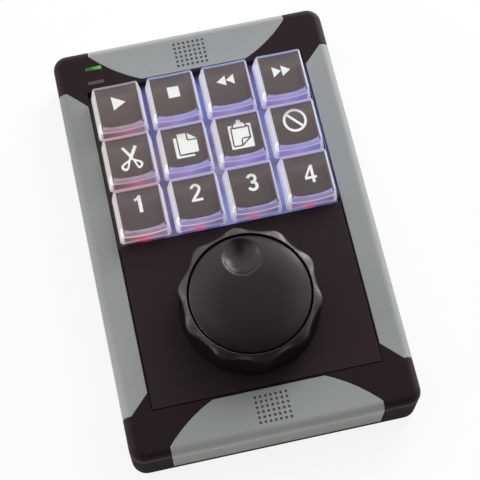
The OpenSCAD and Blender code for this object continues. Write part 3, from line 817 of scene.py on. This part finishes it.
# the light painted into a cap's walls, from the foot up or from left to right
paintedCapRamps = {
    "leftCool": [(0.0, (204, 194, 208)), (0.28, (230, 224, 218)), (0.52, (220, 218, 202)),
                 (0.9, (194, 193, 190))],
    "leftWarm": [(0.0, (204, 202, 196)), (0.28, (218, 217, 212)), (0.55, (212, 213, 208)),
                 (0.9, (206, 207, 203))],
    "right": [(0.0, (182, 180, 212)), (0.28, (214, 210, 228)), (0.65, (218, 213, 228)),
              (0.93, (210, 206, 222))],
    "upperCool": [(0.12, (156, 148, 188)), (0.5, (171, 163, 205)), (0.88, (155, 148, 186))],
    "upperWarm": [(0.12, (141, 122, 127)), (0.5, (168, 141, 154)), (0.88, (157, 145, 158))],
    "lowerCool": [(0.1, (152, 132, 188)), (0.32, (182, 144, 186)), (0.5, (172, 158, 200)),
                  (0.7, (150, 143, 196)), (0.9, (128, 122, 178))],
    "lowerWarm": [(0.1, (112, 92, 98)), (0.3, (156, 102, 116)), (0.48, (180, 110, 128)),
                  (0.6, (198, 114, 142)), (0.72, (160, 124, 150)), (0.9, (142, 126, 158))],
}
# painted light at the same part of a cap, at the cool keys and at the warm ones of the left column: the
# streak is a painted reflection, the lines, brim, rim, edge and strips are painted highlights, the flush is
# the lamp's painted pink glow
paintedCapTones = {
    "streak": ((136, 140, 190), (150, 146, 150)), "line": ((200, 191, 222), (204, 186, 192)),
    "brim": ((196, 190, 226), (206, 182, 192)), "rim": ((188, 172, 212), (204, 168, 176)),
    "flush": ((210, 130, 186), (190, 100, 124)), "edge": ((206, 203, 220), (206, 198, 200)),
    "strip": ((198, 196, 208), (198, 197, 194)), "rearLine": ((136, 146, 186), (140, 136, 140)),
    "innerLine": ((170, 162, 198), (176, 148, 158)), "rearWall": ((160, 160, 192), (178, 168, 176)),
}


def capFinish():
    # clear moulding with the key lights' glow painted on its walls, violet at most keys and red at the left
    # column, and its highlights, glints and reflections painted too
    finish = Finish("capClear")
    worldX, worldY = finish.axes(finish.place())[:2]
    spot = finish.attribute("keyPlace", "Vector")
    x, y, up = finish.axes(spot)
    inside = finish.attribute("capInside", "Fac")
    below = finish.attribute("capBelow", "Fac")
    sideways = finish.size(x) - 8.8 + up * 0.1235
    frontward = -1.0 * y - 8.75 + up * 0.1235
    top = finish.fall(below, 0.2, 0.5)
    front = finish.step(frontward, -0.5, -0.15) * finish.fall(sideways, -0.9, -0.3)
    warm = 1.0 - finish.zone(worldX, "pastLeft")
    farRight = finish.zone(worldX, "farRight")
    nearRow = 1.0 - finish.zone(worldY, "pastNear")
    rearRow = finish.zone(worldY, "rearRow")

    def toned(name):
        return finish.mix(warm, *paintedCapTones[name])

    def ramped(value, name):
        return finish.mix(warm, finish.ramp(value, paintedCapRamps[name + "Cool"]),
                          finish.ramp(value, paintedCapRamps[name + "Warm"]))

    # open over the film, on the outside and on the whole of the hollow's ceiling
    across = finish.fall(finish.size(x), 6.66, 6.78) * finish.fall(y, 5.9, 6.02)
    window = top * (1.0 - inside) * across + inside * finish.step(up, 5.75, 5.9)
    # side walls: painted glow, bluer low down at the cool keys, with painted reflection streaks along their
    # length
    streaks = finish.noise(finish.stretch(spot, (1.1, 0.05, 1.1)), 1.0, 2.0, 0.6)
    rise = up / 8.1
    bluer = finish.step(worldX, -2.0 * mm, 8.0 * mm) * finish.fall(rise, 0.3, 0.8) * 0.4
    leftCool = finish.mix(bluer, finish.ramp(rise, paintedCapRamps["leftCool"]), (190, 198, 226))
    leftTone = finish.mix(warm, leftCool, finish.ramp(rise, paintedCapRamps["leftWarm"]))
    rightTone = finish.mix(farRight, finish.ramp(rise, paintedCapRamps["right"]), (214, 217, 226))
    sideTone = finish.mix(finish.step(x, -4.0, 4.0), leftTone, rightTone)
    sideTone = finish.mix(finish.step(streaks, 0.54, 0.64) * 0.7, sideTone, (244, 246, 248))
    sideTone = finish.mix(finish.fall(streaks, 0.36, 0.47) * 0.6, sideTone, toned("streak"))
    # the front wall, from its top edge down: painted glow, a painted bright line and brim, painted shade at
    # the near row, a painted pale rim, the lamp's painted pink glow and painted highlights towards the ends
    along = (x + 8.0) / 16.0
    lineBelow = below - nearRow * 0.55
    wall = finish.mix(finish.step(lineBelow, 2.9, 3.6), ramped(along, "upper"), ramped(along, "lower"))
    line = finish.step(lineBelow, 1.95, 2.45) * finish.fall(lineBelow, 2.85, 3.35)
    wall = finish.mix(line * (0.8 + nearRow * 0.2), wall, finish.mix(nearRow, toned("line"), (226, 214, 236)))
    wall = finish.mix(finish.fall(below, 0.5, 1.1) * 0.4, wall, toned("brim"))
    wall = finish.mix(nearRow * (1.0 - line) * 0.22, wall, (96, 76, 104))
    wall = finish.mix(finish.fall(up, 0.9, 1.7) * 0.6, wall, toned("rim"))
    fromLamp = finish.size(x + 1.3)
    flush = finish.fall(fromLamp, 1.0, 4.0) * finish.fall(up, 1.2, 3.2) * nearRow
    wall = finish.mix(flush * 0.6, wall, toned("flush"))
    pink = finish.fall(fromLamp, 0.5, 2.2) * finish.fall(up, 0.5, 1.5)
    wall = finish.mix(pink * (0.1 + nearRow * 0.8), wall, (250, 84, 136))
    wall = finish.mix(finish.step(finish.size(x), 6.9, 7.5) * 0.8, wall, toned("edge"))
    # the top: the film's refracted image painted dark round the film, two painted bright side strips, and a
    # thinner painted one at the rear
    strip = finish.mix(finish.step(x, -1.0, 1.0) * 0.5, toned("strip"), (166, 164, 178))
    strip = finish.mix(farRight * finish.step(x, -1.0, 1.0), strip, (208, 210, 216))
    paintedTop = finish.mix(finish.step(finish.size(x - 0.04), 7.02, 7.32), (86, 75, 75), strip)
    rearLine = finish.step(y - rearRow * 0.2, 6.55, 6.85) * (1.0 - finish.step(y, 7.35, 7.6) * 0.35)
    paintedTop = finish.mix(rearLine, paintedTop, finish.mix(1.0 - rearRow, toned("rearLine"), toned("innerLine")))
    tone = finish.mix(top, finish.mix(front, sideTone, wall), paintedTop)
    # a painted glint at the front-left corner of each cap
    glint = finish.step(x * -1.0, 7.0, 7.5) * finish.step(y * -1.0, 5.4, 6.8) * finish.step(up, 3.6, 5.4)
    tone = finish.mix(glint, tone, (246, 250, 248))
    # the rear walls take a painted tone; the painted glow is strongest on the front walls and weaker on the
    # top, the rear walls and the right column's right walls
    rearWall = finish.step(y, 7.7, 8.1) * (1.0 - top)
    rightWall = farRight * finish.step(x, 7.7, 8.1) * (1.0 - top)
    tone = finish.mix(rearWall, tone, toned("rearWall"))
    share = 0.58 + front * (0.11 + nearRow * 0.3) - top * 0.32 - rearWall * 0.38 - rightWall * 0.3
    glow = finish.mix(window, finish.mix(share, (0, 0, 0), tone), (0, 0, 0))
    # much of the light passes through, so that the film below has no hard shade
    alpha = (0.9 - window * 0.85) * (1.0 - inside * 0.55)
    alpha = alpha * (1.0 - finish.node("ShaderNodeLightPath", {}, {}, "Is Shadow Ray") * 0.6)
    ripple = finish.noise(finish.stretch(spot, (0.9, 0.35, 0.9)), 1.0, 2.0)
    return finish.skin({
        "Base Color": tone, "Roughness": 0.2 + ripple * 0.1 - window * 0.08, "Alpha": alpha, "IOR": 1.49,
        "Specular IOR Level": 0.4, "Emission Color": glow, "Emission Strength": 0.65,
        "Normal": finish.bump(ripple + streaks * 0.3, 0.00012, 0.5),
    })


def arc(cx, cy, rx, ry, start, end, steps):
    points = []
    for step in range(steps + 1):
        angle = math.radians(start + (end - start) * step / steps)
        points.append((cx + rx * math.cos(angle), cy + ry * math.sin(angle)))
    return points


def roundedOutline(halfX, halfY, corner, cornerSteps, sideSteps):
    # points round a rectangle with round corners, the same number whatever its size
    arcs = []
    for turn, (sx, sy) in enumerate(((1, 1), (-1, 1), (-1, -1), (1, -1))):
        cx = sx * (halfX - corner)
        cy = sy * (halfY - corner)
        arcs.append(arc(cx, cy, corner, corner, 90 * turn, 90 * turn + 90, cornerSteps))
    points = []
    for turn in range(4):
        points += arcs[turn]
        hereX, hereY = points[-1]
        nextX, nextY = arcs[(turn + 1) % 4][0]
        for step in range(1, sideSteps):
            part = step / sideSteps
            points.append((hereX + (nextX - hereX) * part, hereY + (nextY - hereY) * part))
    return points


def capRings(halfX, halfY, high):
    # rings of (x, y, z, how far below the top, inside) from the outer rim over the top and down the hollow
    sizes = capSizes
    topX = halfX - sizes["lean"]

    def dishZ(x, y):
        # the dish is deepest at the front edge and nearly flat at the rear one
        share = min(max((y / halfY + 0.4) / 1.3, 0.0), 1.0)
        depth = sizes["dish"] * (1 - sizes["rearFlat"] * share * share * (3 - 2 * share))
        return high - depth * (1 - (min(abs(x), topX) / topX) ** 2)

    def ringAt(z, inset):
        lean = sizes["lean"] * z / high
        corner = sizes["rimCorner"] + (sizes["topCorner"] - sizes["rimCorner"]) * z / high - inset * 0.6
        return roundedOutline(halfX - lean - inset, halfY - lean - inset, max(corner, 0.25),
                              sizes["cornerSteps"], sizes["sideSteps"])

    def wallRing(share, inset):
        # a ring part of the way up the wall, which follows the dish
        ring = []
        for place, (x, y) in enumerate(ringAt(share * high, inset)):
            z = share * (dishZ(x, y) - sizes["edge"])
            x, y = ringAt(z, inset)[place]
            ring.append((x, y, z, dishZ(x, y) - z, 0.0))
        return ring

    def belowRing(drop, out):
        ring = []
        for place, (x, y) in enumerate(ringAt(high - drop, 0.0)):
            z = dishZ(x, y) - drop
            x, y = ringAt(z, 0.0)[place]
            if out and y < -halfY + 1.5 and abs(x) < halfX - 1.7:
                y -= out
            ring.append((x, y, z, drop, 0.0))
        return ring

    rings = [[(x, y, 0.0, 8.0, 0.0) for x, y in ringAt(0.0, 0.07)],
             [(x, y, 0.08, 8.0, 0.0) for x, y in ringAt(0.08, 0.0)]]
    rings.append(wallRing(0.2, 0.0))
    rings.append(wallRing(0.4, 0.0))
    ridge = sizes["ridgeBelow"]
    half = sizes["ridgeWide"] / 2
    proud = sizes["ridgeOut"]
    for drop, out in ((ridge + half + 0.12, 0.0), (ridge + half, proud), (ridge - half, proud),
                      (ridge - half - 0.12, 0.0), (1.4, 0.0)):
        rings.append(belowRing(drop, out))
    for turn in range(0, 5):
        lean = math.radians(90 * turn / 4)
        inset = sizes["edge"] * (1 - math.cos(lean))
        ring = []
        drop = sizes["edge"] * (1 - math.sin(lean))
        for x, y in ringAt(high - sizes["edge"], inset):
            ring.append((x, y, dishZ(x, y) - drop, drop, 0.0))
        rings.append(ring)
    for inset in (0.7, 1.0, 1.5, 2.4, 3.4, 4.6, 5.8, 6.8):
        rings.append([(x, y, dishZ(x, y), 0.0, 0.0) for x, y in ringAt(high, inset)])
    middle = (0.0, 0.0, dishZ(0.0, 0.0), 0.0, 0.0)
    ceiling = high - sizes["dish"] - sizes["wall"]
    hollow = []
    for z in (0.0, 2.0, 4.0, ceiling - 0.3):
        hollow.append([(x, y, z, 9.0, 1.0) for x, y in ringAt(z, sizes["wall"])])
    hollow.append([(x, y, ceiling - 0.08, 9.0, 1.0) for x, y in ringAt(ceiling, sizes["wall"] + 0.08)])
    for inset in (0.3, 2.0, 4.5):
        hollow.append([(x, y, ceiling, 9.0, 1.0) for x, y in ringAt(ceiling, sizes["wall"] + inset)])
    return rings, middle, hollow, (0.0, 0.0, ceiling, 9.0, 1.0)


def capModel(halfX, halfY, high):
    rings, middle, hollow, innerMiddle = capRings(halfX, halfY, high)
    points = []
    faces = []
    count = len(rings[0])

    def bridge(first, second):
        for place in range(count):
            after = (place + 1) % count
            faces.append((first + place, first + after, second + after, second + place))

    def stack(wall, centre):
        # rings joined one to the next, and the last one to a point
        start = len(points)
        for ring in wall:
            points.extend(ring)
        for place in range(len(wall) - 1):
            bridge(start + place * count, start + (place + 1) * count)
        last = start + (len(wall) - 1) * count
        points.append(centre)
        for place in range(count):
            faces.append((last + place, last + (place + 1) % count, len(points) - 1))
        return start

    bridge(stack(rings, middle), stack(hollow, innerMiddle))
    return points, faces


def boxMiddle(name):
    low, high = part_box(name)
    return (low.x + high.x) / 2 / mm, (low.y + high.y) / 2 / mm


def addCap(name, finish):
    low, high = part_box(name + "_cap")
    cx, cy = boxMiddle(name + "_cap")
    base = low.z / mm
    points, faces = capModel((high.x - low.x) / 2 / mm, (high.y - low.y) / 2 / mm, (high.z - low.z) / mm)
    corners = [(p[0] + cx, p[1] + cy, p[2] + base) for p in points]
    piece = addMesh(name + "_cap_dished", corners, faces, finish)
    for label, kind in (("keyPlace", "FLOAT_VECTOR"), ("capBelow", "FLOAT"), ("capInside", "FLOAT")):
        piece.data.attributes.new(label, kind, "POINT")
    spots = piece.data.attributes["keyPlace"].data
    drops = piece.data.attributes["capBelow"].data
    insides = piece.data.attributes["capInside"].data
    for place, (x, y, z, drop, inner) in enumerate(points):
        spots[place].vector = (x, y, z)
        drops[place].value = drop
        insides[place].value = inner
    smoothed(faceOut(piece), 60)
    return put(piece, name + "_key", "cap_clear", name + "_cap")


capClear = capFinish()
filmRows = {"near": 8.25, "pitch": 19.25}


def filmFinish():
    # printed film: warm dark grey with a fine fibre and a soft sheen, and some painted glow so that it shows
    # no shade under the caps
    finish = Finish("filmGrey")
    place = finish.place()
    fibre = finish.noise(finish.stretch(place, (1.0, 0.35, 1.0)), 1700.0, 3.0, 0.6)
    cloud = finish.noise(place, 120.0, 3.0, 0.6)
    tone = finish.mix(fibre * 0.5 + cloud * 0.5, (88, 76, 75), (108, 96, 94))
    x, y, z = finish.axes(place)
    # painted shade: darker towards the right columns and at the near row
    tone = finish.mix(finish.step(x, -20.0 * mm, 20.0 * mm) * 0.5, tone, (84, 72, 73))
    tone = finish.mix((1.0 - finish.zone(y, "pastNear")) * 0.4, tone, (72, 61, 61))
    # painted light and shade: each key's film is a little lighter towards its rear and darker towards its
    # front
    half = filmRows["pitch"] / 2 * mm
    shifted = y - (filmRows["near"] * mm - half)
    local = shifted.apply("FLOORED_MODULO", half * 2) - half
    tone = finish.mix(finish.step(local, 0.0, 6.5 * mm) * 0.36, tone, (152, 140, 140))
    tone = finish.mix(finish.fall(local, -6.5 * mm, 0.5 * mm) * 0.2, tone, (40, 32, 32))
    return finish.skin({
        "Base Color": finish.mix(0.3, tone, (58, 48, 48)), "Roughness": 0.5 + fibre * 0.12,
        "Specular IOR Level": 0.35, "Emission Color": tone, "Emission Strength": 0.28,
        "Normal": finish.bump(fibre, 0.00002, 0.5),
    })


def baseFinish():
    # milky key base, with the glow of its two small lights painted on as emission, red at the left column
    finish = Finish("baseMilky")
    place = finish.place()
    warm = 1.0 - finish.zone(finish.axes(place)[0], "pastLeft")
    cloud = finish.noise(place, 160.0, 3.0, 0.6)
    tone = finish.mix(cloud, (150, 146, 206), (190, 184, 224))
    tone = finish.mix(warm * 0.5, tone, (190, 150, 166))
    return finish.skin({
        "Base Color": tone, "Roughness": 0.4 + cloud * 0.1, "Emission Color": tone, "Emission Strength": 0.2,
    })


def inkFinish():
    # white print with a faint screen-print mottle, and a painted glow that keeps it bright
    finish = Finish("printWhite")
    mottle = finish.noise(finish.place(), 1400.0, 3.0, 0.6)
    return finish.skin({
        "Base Color": finish.mix(mottle * 0.5, (250, 252, 248), (240, 243, 237)),
        "Roughness": 0.45 + mottle * 0.1,
        "Emission Color": finish.mix(mottle, (120, 122, 118), (110, 112, 108)), "Emission Strength": 0.65,
    })


filmGrey = filmFinish()
baseMilky = baseFinish()
printWhite = inkFinish()


def smoothLoop(points, steps=5):
    # a closed curve through the points
    out = []
    count = len(points)
    for place in range(count):
        a, b, c, d = (Vector(points[(place + k - 1) % count]) for k in range(4))
        for step in range(steps):
            t = step / steps
            bend = 2 * a - 5 * b + 4 * c - d
            p = 0.5 * (2 * b + (c - a) * t + bend * t * t + (3 * b - a - 3 * c + d) * t ** 3)
            out.append((p.x, p.y))
    return out


def ribbon(points, width):
    # outline of a line of that width, with square ends
    left = []
    right = []
    for place, point in enumerate(points):
        before = Vector(points[max(place - 1, 0)])
        after = Vector(points[min(place + 1, len(points) - 1)])
        ahead = (after - before).normalized()
        side = Vector((-ahead.y, ahead.x)) * width / 2
        here = Vector(point)
        left.append(tuple(here + side))
        right.append(tuple(here - side))
    return left + right[::-1]


def moved(shapes, dx, dy, sx=1.0, sy=1.0):
    return [[[(x * sx + dx, y * sy + dy) for x, y in loop] for loop in loops] for loops in shapes]


scissorsOutline = (
    [(-2.3, 3.95), (-1.5, 4.4), (0.5, 1.2), (2.2, 4.42), (3.15, 3.75), (1.0, -0.25)]
    + smoothLoop([(1.35, -0.75), (2.45, -1.4), (3.75, -2.2), (4.12, -3.3), (3.4, -4.5), (2.5, -4.75),
                  (1.95, -4.1), (1.4, -2.6), (0.95, -1.3)])[:-8]
    + [(0.92, -1.2), (0.48, -0.95), (0.1, -1.25)]
    + smoothLoop([(0.0, -1.45), (-0.35, -2.6), (-1.0, -4.25), (-2.0, -4.9), (-3.15, -4.2), (-3.4, -2.9),
                  (-2.4, -1.9), (-1.3, -1.35), (-0.4, -0.85)])[:-8]
    + [(-0.38, -0.8), (-0.05, 0.15)]
)
scissorsLeft = smoothLoop([
    (-0.98, -1.95), (-2.15, -2.65), (-2.55, -3.25), (-2.05, -3.95), (-1.45, -3.6), (-1.1, -2.8),
])
scissorsRight = smoothLoop([
    (1.9, -2.05), (2.75, -2.35), (3.3, -3.15), (2.95, -3.8), (2.5, -3.75), (2.15, -3.0),
])

symbols = {
    "play": [[[(-2.07, 4.45), (2.62, 1.67), (-1.86, -0.83)]]],
    "stop": [[[(-1.68, 3.75), (2.33, 3.68), (2.36, -0.36), (-1.65, -0.4)]]],
    "rewind": moved([
        [[(-3.73, 2.0), (-0.5, 4.0), (-0.5, 0.2)]], [[(-0.35, 2.15), (2.45, 4.05), (2.45, 0.25)]],
    ], 0.18, 0.08),
    "forward": moved([
        [[(-2.7, 3.6), (0.2, 1.72), (-2.55, -0.2)]], [[(0.35, 3.55), (3.32, 1.62), (0.45, -0.25)]],
    ], -0.09, -0.12, 1.04, 1.08),
    "cut": moved([[scissorsOutline, scissorsLeft, scissorsRight]], 0.02, 0.12, 1.0, 0.96),
    "copy": [
        [[(-1.96, 4.8), (-1.8, 4.97), (1.05, 4.97), (1.05, 2.45), (1.35, 2.0), (4.47, 1.9), (4.4, -2.4),
          (4.2, -2.6), (-1.75, -2.62), (-1.94, -2.45)]],
        [[(1.55, 4.85), (1.75, 4.72), (4.45, 2.5), (4.3, 2.42), (1.75, 2.45), (1.55, 2.62)]],
        [[(-3.46, 3.7), (-2.4, 3.7), (-2.4, -2.75), (-2.0, -3.2), (2.85, -3.25), (2.8, -3.95),
          (-3.2, -3.98), (-3.44, -3.75)]],
    ],
    "paste": [
        [[(-3.5, 4.15), (-2.1, 4.2), (-2.05, 3.6), (-2.72, 3.25), (-2.95, -3.45), (-2.5, -3.98),
          (0.35, -3.95), (3.75, -1.3), (3.8, 3.15), (3.25, 3.6), (2.75, 3.62), (2.9, 4.1), (4.45, 4.02),
          (4.28, -4.8), (-3.54, -4.7)]],
        [[(-2.25, 3.0), (-1.75, 2.75), (2.8, 2.7), (3.3, 3.0), (3.22, -0.85), (1.0, -0.85), (0.25, -1.5),
          (0.05, -3.42), (-2.3, -3.45), (-2.48, -3.2)]],
        [[(0.72, -1.65), (1.05, -1.35), (2.85, -1.32), (0.55, -3.2)]],
        [[(-1.62, 3.3), (-1.45, 4.2), (-0.95, 4.65), (-0.45, 4.78), (-0.4, 5.3)]
         + arc(0.42, 5.25, 0.82, 0.78, 175, 5, 10)
         + [(1.3, 4.75), (1.85, 4.62), (2.3, 4.15), (2.5, 3.25)]],
    ],
    "cancel": [
        [arc(0.5, 1.6, 4.1, 4.3, 0, 360, 64)[:-1], arc(0.5, 1.6, 3.2, 3.38, 0, 360, 64)[:-1]],
        [ribbon([(-1.95, 4.25), (2.95, -1.1)], 0.9)],
    ],
    "one": [moved([[[(-1.15, 2.05), (-1.15, 1.1), (-0.05, 1.55), (-0.05, -3.1), (1.15, -3.1), (1.15, 3.15),
                     (0.25, 3.15), (-0.1, 2.6), (-0.6, 2.2)]]], -0.35, 2.1)[0]],
    "two": moved([
        [ribbon(arc(0.0, 1.35, 1.32, 1.32, 172, -12, 18)
                + [(0.98, 0.35), (0.3, -0.6), (-0.75, -1.75), (-1.25, -2.6)], 0.98)],
        [[(-1.93, -2.3), (-1.93, -3.2), (1.93, -3.2), (1.93, -2.3)]],
    ], 0.2, 2.1),
    "three": moved([
        [ribbon(arc(-0.02, 1.45, 1.25, 1.25, 165, -75, 20), 1.0)],
        [ribbon(arc(-0.02, -1.3, 1.35, 1.38, 78, -165, 22), 1.05)],
        [[(-0.5, 0.6), (0.5, 0.6), (0.5, -0.45), (-0.5, -0.45)]],
    ], 0.36, 1.62),
    "four": moved([
        [[(0.3, 3.2), (1.22, 3.2), (1.22, -0.85), (1.98, -0.85), (1.98, -1.75), (1.22, -1.75), (1.22, -3.2),
          (0.22, -3.2), (0.22, -1.75), (-2.08, -1.75), (-2.08, -0.9)],
         [(0.22, 1.7), (0.22, -0.85), (-1.2, -0.85)]],
    ], 1.03, 0.45),
}


def addSymbol(name):
    # thin printed solids just over the film
    cx, cy = boxMiddle(name + "_cap")
    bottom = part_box(name + "_legend")[1].z / mm + 0.003
    top = bottom + 0.03
    points = []
    faces = []
    for loops in symbols[name]:
        loops = [[Vector((x, y, 0.0)) for x, y in loop] for loop in loops]
        flatLoop = [point for loop in loops for point in loop]
        start = len(points)
        count = len(flatLoop)
        points += [(p.x + cx, p.y + cy, z) for z in (bottom, top) for p in flatLoop]
        for a, b, c in tessellate_polygon(loops):
            faces.append((start + count + a, start + count + b, start + count + c))
            faces.append((start + c, start + b, start + a))
        for loop in loops:
            size = len(loop)
            for place in range(size):
                after = (place + 1) % size
                faces.append((start + place, start + after, start + count + after, start + count + place))
            start += size
    piece = faceOut(addMesh(name + "_print", points, faces, printWhite), merge=False)
    return put(piece, name + "_key", "legend_grey")


for name in keyNames:
    addCap(name, capClear)
    addSymbol(name)
    finishNode(name + "_legend", filmGrey)
    finishNode(name + "_key_base", baseMilky)
print("twelve keys dressed")


def floorFinish():
    # pale cloth that looks evenly lit far from the piece
    finish = Finish("paleFloor")
    place = finish.place()
    grain = finish.noise(place, 60.0)
    x, y, z = finish.axes(place)
    far = finish.step(x * x + y * y, 0.012, 0.09)
    tone = finish.mix(grain * 0.3, (0.95, 0.95, 0.95, 1.0), (0.97, 0.97, 0.97, 1.0))
    cloth = finish.node("ShaderNodeBsdfDiffuse", {}, {"Color": tone})
    light = finish.node("ShaderNodeEmission", {}, {"Color": (1.0, 1.0, 1.0, 1.0), "Strength": 1.0})
    path = finish.node("ShaderNodeLightPath", {}, {})
    seen = path.apply("MAXIMUM", path.other("Is Glossy Ray"))
    seen = seen.apply("MAXIMUM", path.other("Is Transmission Ray"))
    return finish.blend(seen * (0.87 + far * 0.13), cloth, light)


# floor, light and camera
floorHalf = 2000
floorCorners = [(x * floorHalf, y * floorHalf, 0) for x, y in ((-1, -1), (1, -1), (1, 1), (-1, 1))]
floor = addMesh("floor", floorCorners, [(0, 1, 2, 3)], floorFinish())

# the room's light on the piece, and what it mirrors: low down, overhead and in front
worldLevels = {"plain": 0.7, "low": 1.15, "zenith": 0.05, "front": 0.1}


def studioWorld():
    world = bpy.data.worlds.new("studio")
    bpy.context.scene.world = world
    finish = Finish("studio", world)
    way = finish.node("ShaderNodeTexCoord", {}, {}, "Generated")
    x, y, z = finish.axes(way)
    path = finish.node("ShaderNodeLightPath", {}, {})
    # reflections: dark overhead, a little towards the front, and bright low down at the sides and the rear
    overhead = finish.node("ShaderNodeVectorMath", {"operation": "DOT_PRODUCT"},
                           {0: way, 1: (0.1, 0.12, 0.987)}, "Value")
    high = finish.step(overhead, 0.86, 1.02)
    facing = y * 0.98 + x * 0.2
    front = finish.fall(facing, -0.35, 0.2) * finish.step(z, -0.02, 0.12)
    glossy = worldLevels["low"] + high * (worldLevels["zenith"] - worldLevels["low"])
    glossy = glossy * (1.0 - front * (1.0 - worldLevels["front"]))
    plain = 1.24 + finish.step(y, 0.3, 0.8) * 0.25
    plain = plain - finish.fall(y, -0.5, 0.25) * 1.2
    plain = plain * (1.0 - high * 0.6) * worldLevels["plain"]
    level = plain + path.other("Is Glossy Ray") * (glossy - plain)
    clear = path.apply("MAXIMUM", path.other("Is Transmission Ray"))
    level = level + clear * (1.0 - level)
    shine = finish.node("ShaderNodeBackground", {}, {"Color": (1.0, 1.0, 1.0, 1.0), "Strength": level})
    finish.node("ShaderNodeOutputWorld", {}, {"Surface": shine})


studioWorld()

# place in metres, width and height, watts, colour, and whether it shows in reflections
white = (1.0, 1.0, 1.0)
lamps = {
    "keyLamp": ((0.45, 0.52, 0.68), 0.4, 0.4, 2.95, white, False),
    "rightLamp": ((0.82, 0.3, 0.14), 0.4, 0.3, 1.9, white, True),
    "rearLamp": ((0.52, 0.73, 0.1), 0.36, 0.18, 2.2, white, True),
    "horizonLamp": ((-0.05, 0.9, 0.07), 0.9, 0.12, 0.45, white, True),
    "leftLamp": ((-0.76, 0.3, 0.3), 0.4, 0.3, 1.0, (1.0, 0.96, 0.88), True),
    "frontLamp": ((-0.42, -0.85, 0.1), 0.5, 0.16, 2.6, (1.0, 0.9, 0.84), False),
    "dimpleLamp": ((0.66, 0.58, 0.35), 0.2, 0.2, 1.4, white, True),
    "spotLamp": ((-0.81, -0.2, 0.36), 0.08, 0.08, 1.0, white, True),
}
for name, (place, wide, high, power, colour, shines) in lamps.items():
    data = bpy.data.lights.new(name, "AREA")
    data.shape = "RECTANGLE"
    data.size = wide
    data.size_y = high
    data.energy = power
    data.color = colour
    lamp = linked(name, data)
    lamp.location = place
    lamp.rotation_euler = (-Vector(place)).to_track_quat("-Z", "Y").to_euler()
    lamp.visible_glossy = shines
print("lights placed")

cameraSizes = {"lens": 110.22, "place": (-36.62, -174.35, 481.0), "up": 69.61, "round": -12.98, "roll": 0.52}


def addCamera():
    up, turn, roll = (math.radians(cameraSizes[key]) for key in ("up", "round", "roll"))
    back = Vector((math.sin(turn) * math.cos(up), -math.cos(turn) * math.cos(up), math.sin(up)))
    level = (-back).cross(Vector((0, 0, 1))).normalized()
    above = level.cross(-back)
    right = level * math.cos(roll) + above * math.sin(roll)
    top = above * math.cos(roll) - level * math.sin(roll)
    data = bpy.data.cameras.new("camera")
    data.sensor_width = 36.0
    data.sensor_fit = "HORIZONTAL"
    data.lens = cameraSizes["lens"]
    data.clip_start = 0.01
    camera = linked("camera", data)
    rows = [(right[k], top[k], back[k], cameraSizes["place"][k] * mm) for k in range(3)]
    camera.matrix_world = Matrix((*rows, (0, 0, 0, 1)))
    bpy.context.scene.camera = camera


addCamera()
bpy.context.scene.view_settings.view_transform = "Standard"
print("camera set")

bpy.context.view_layer.update()
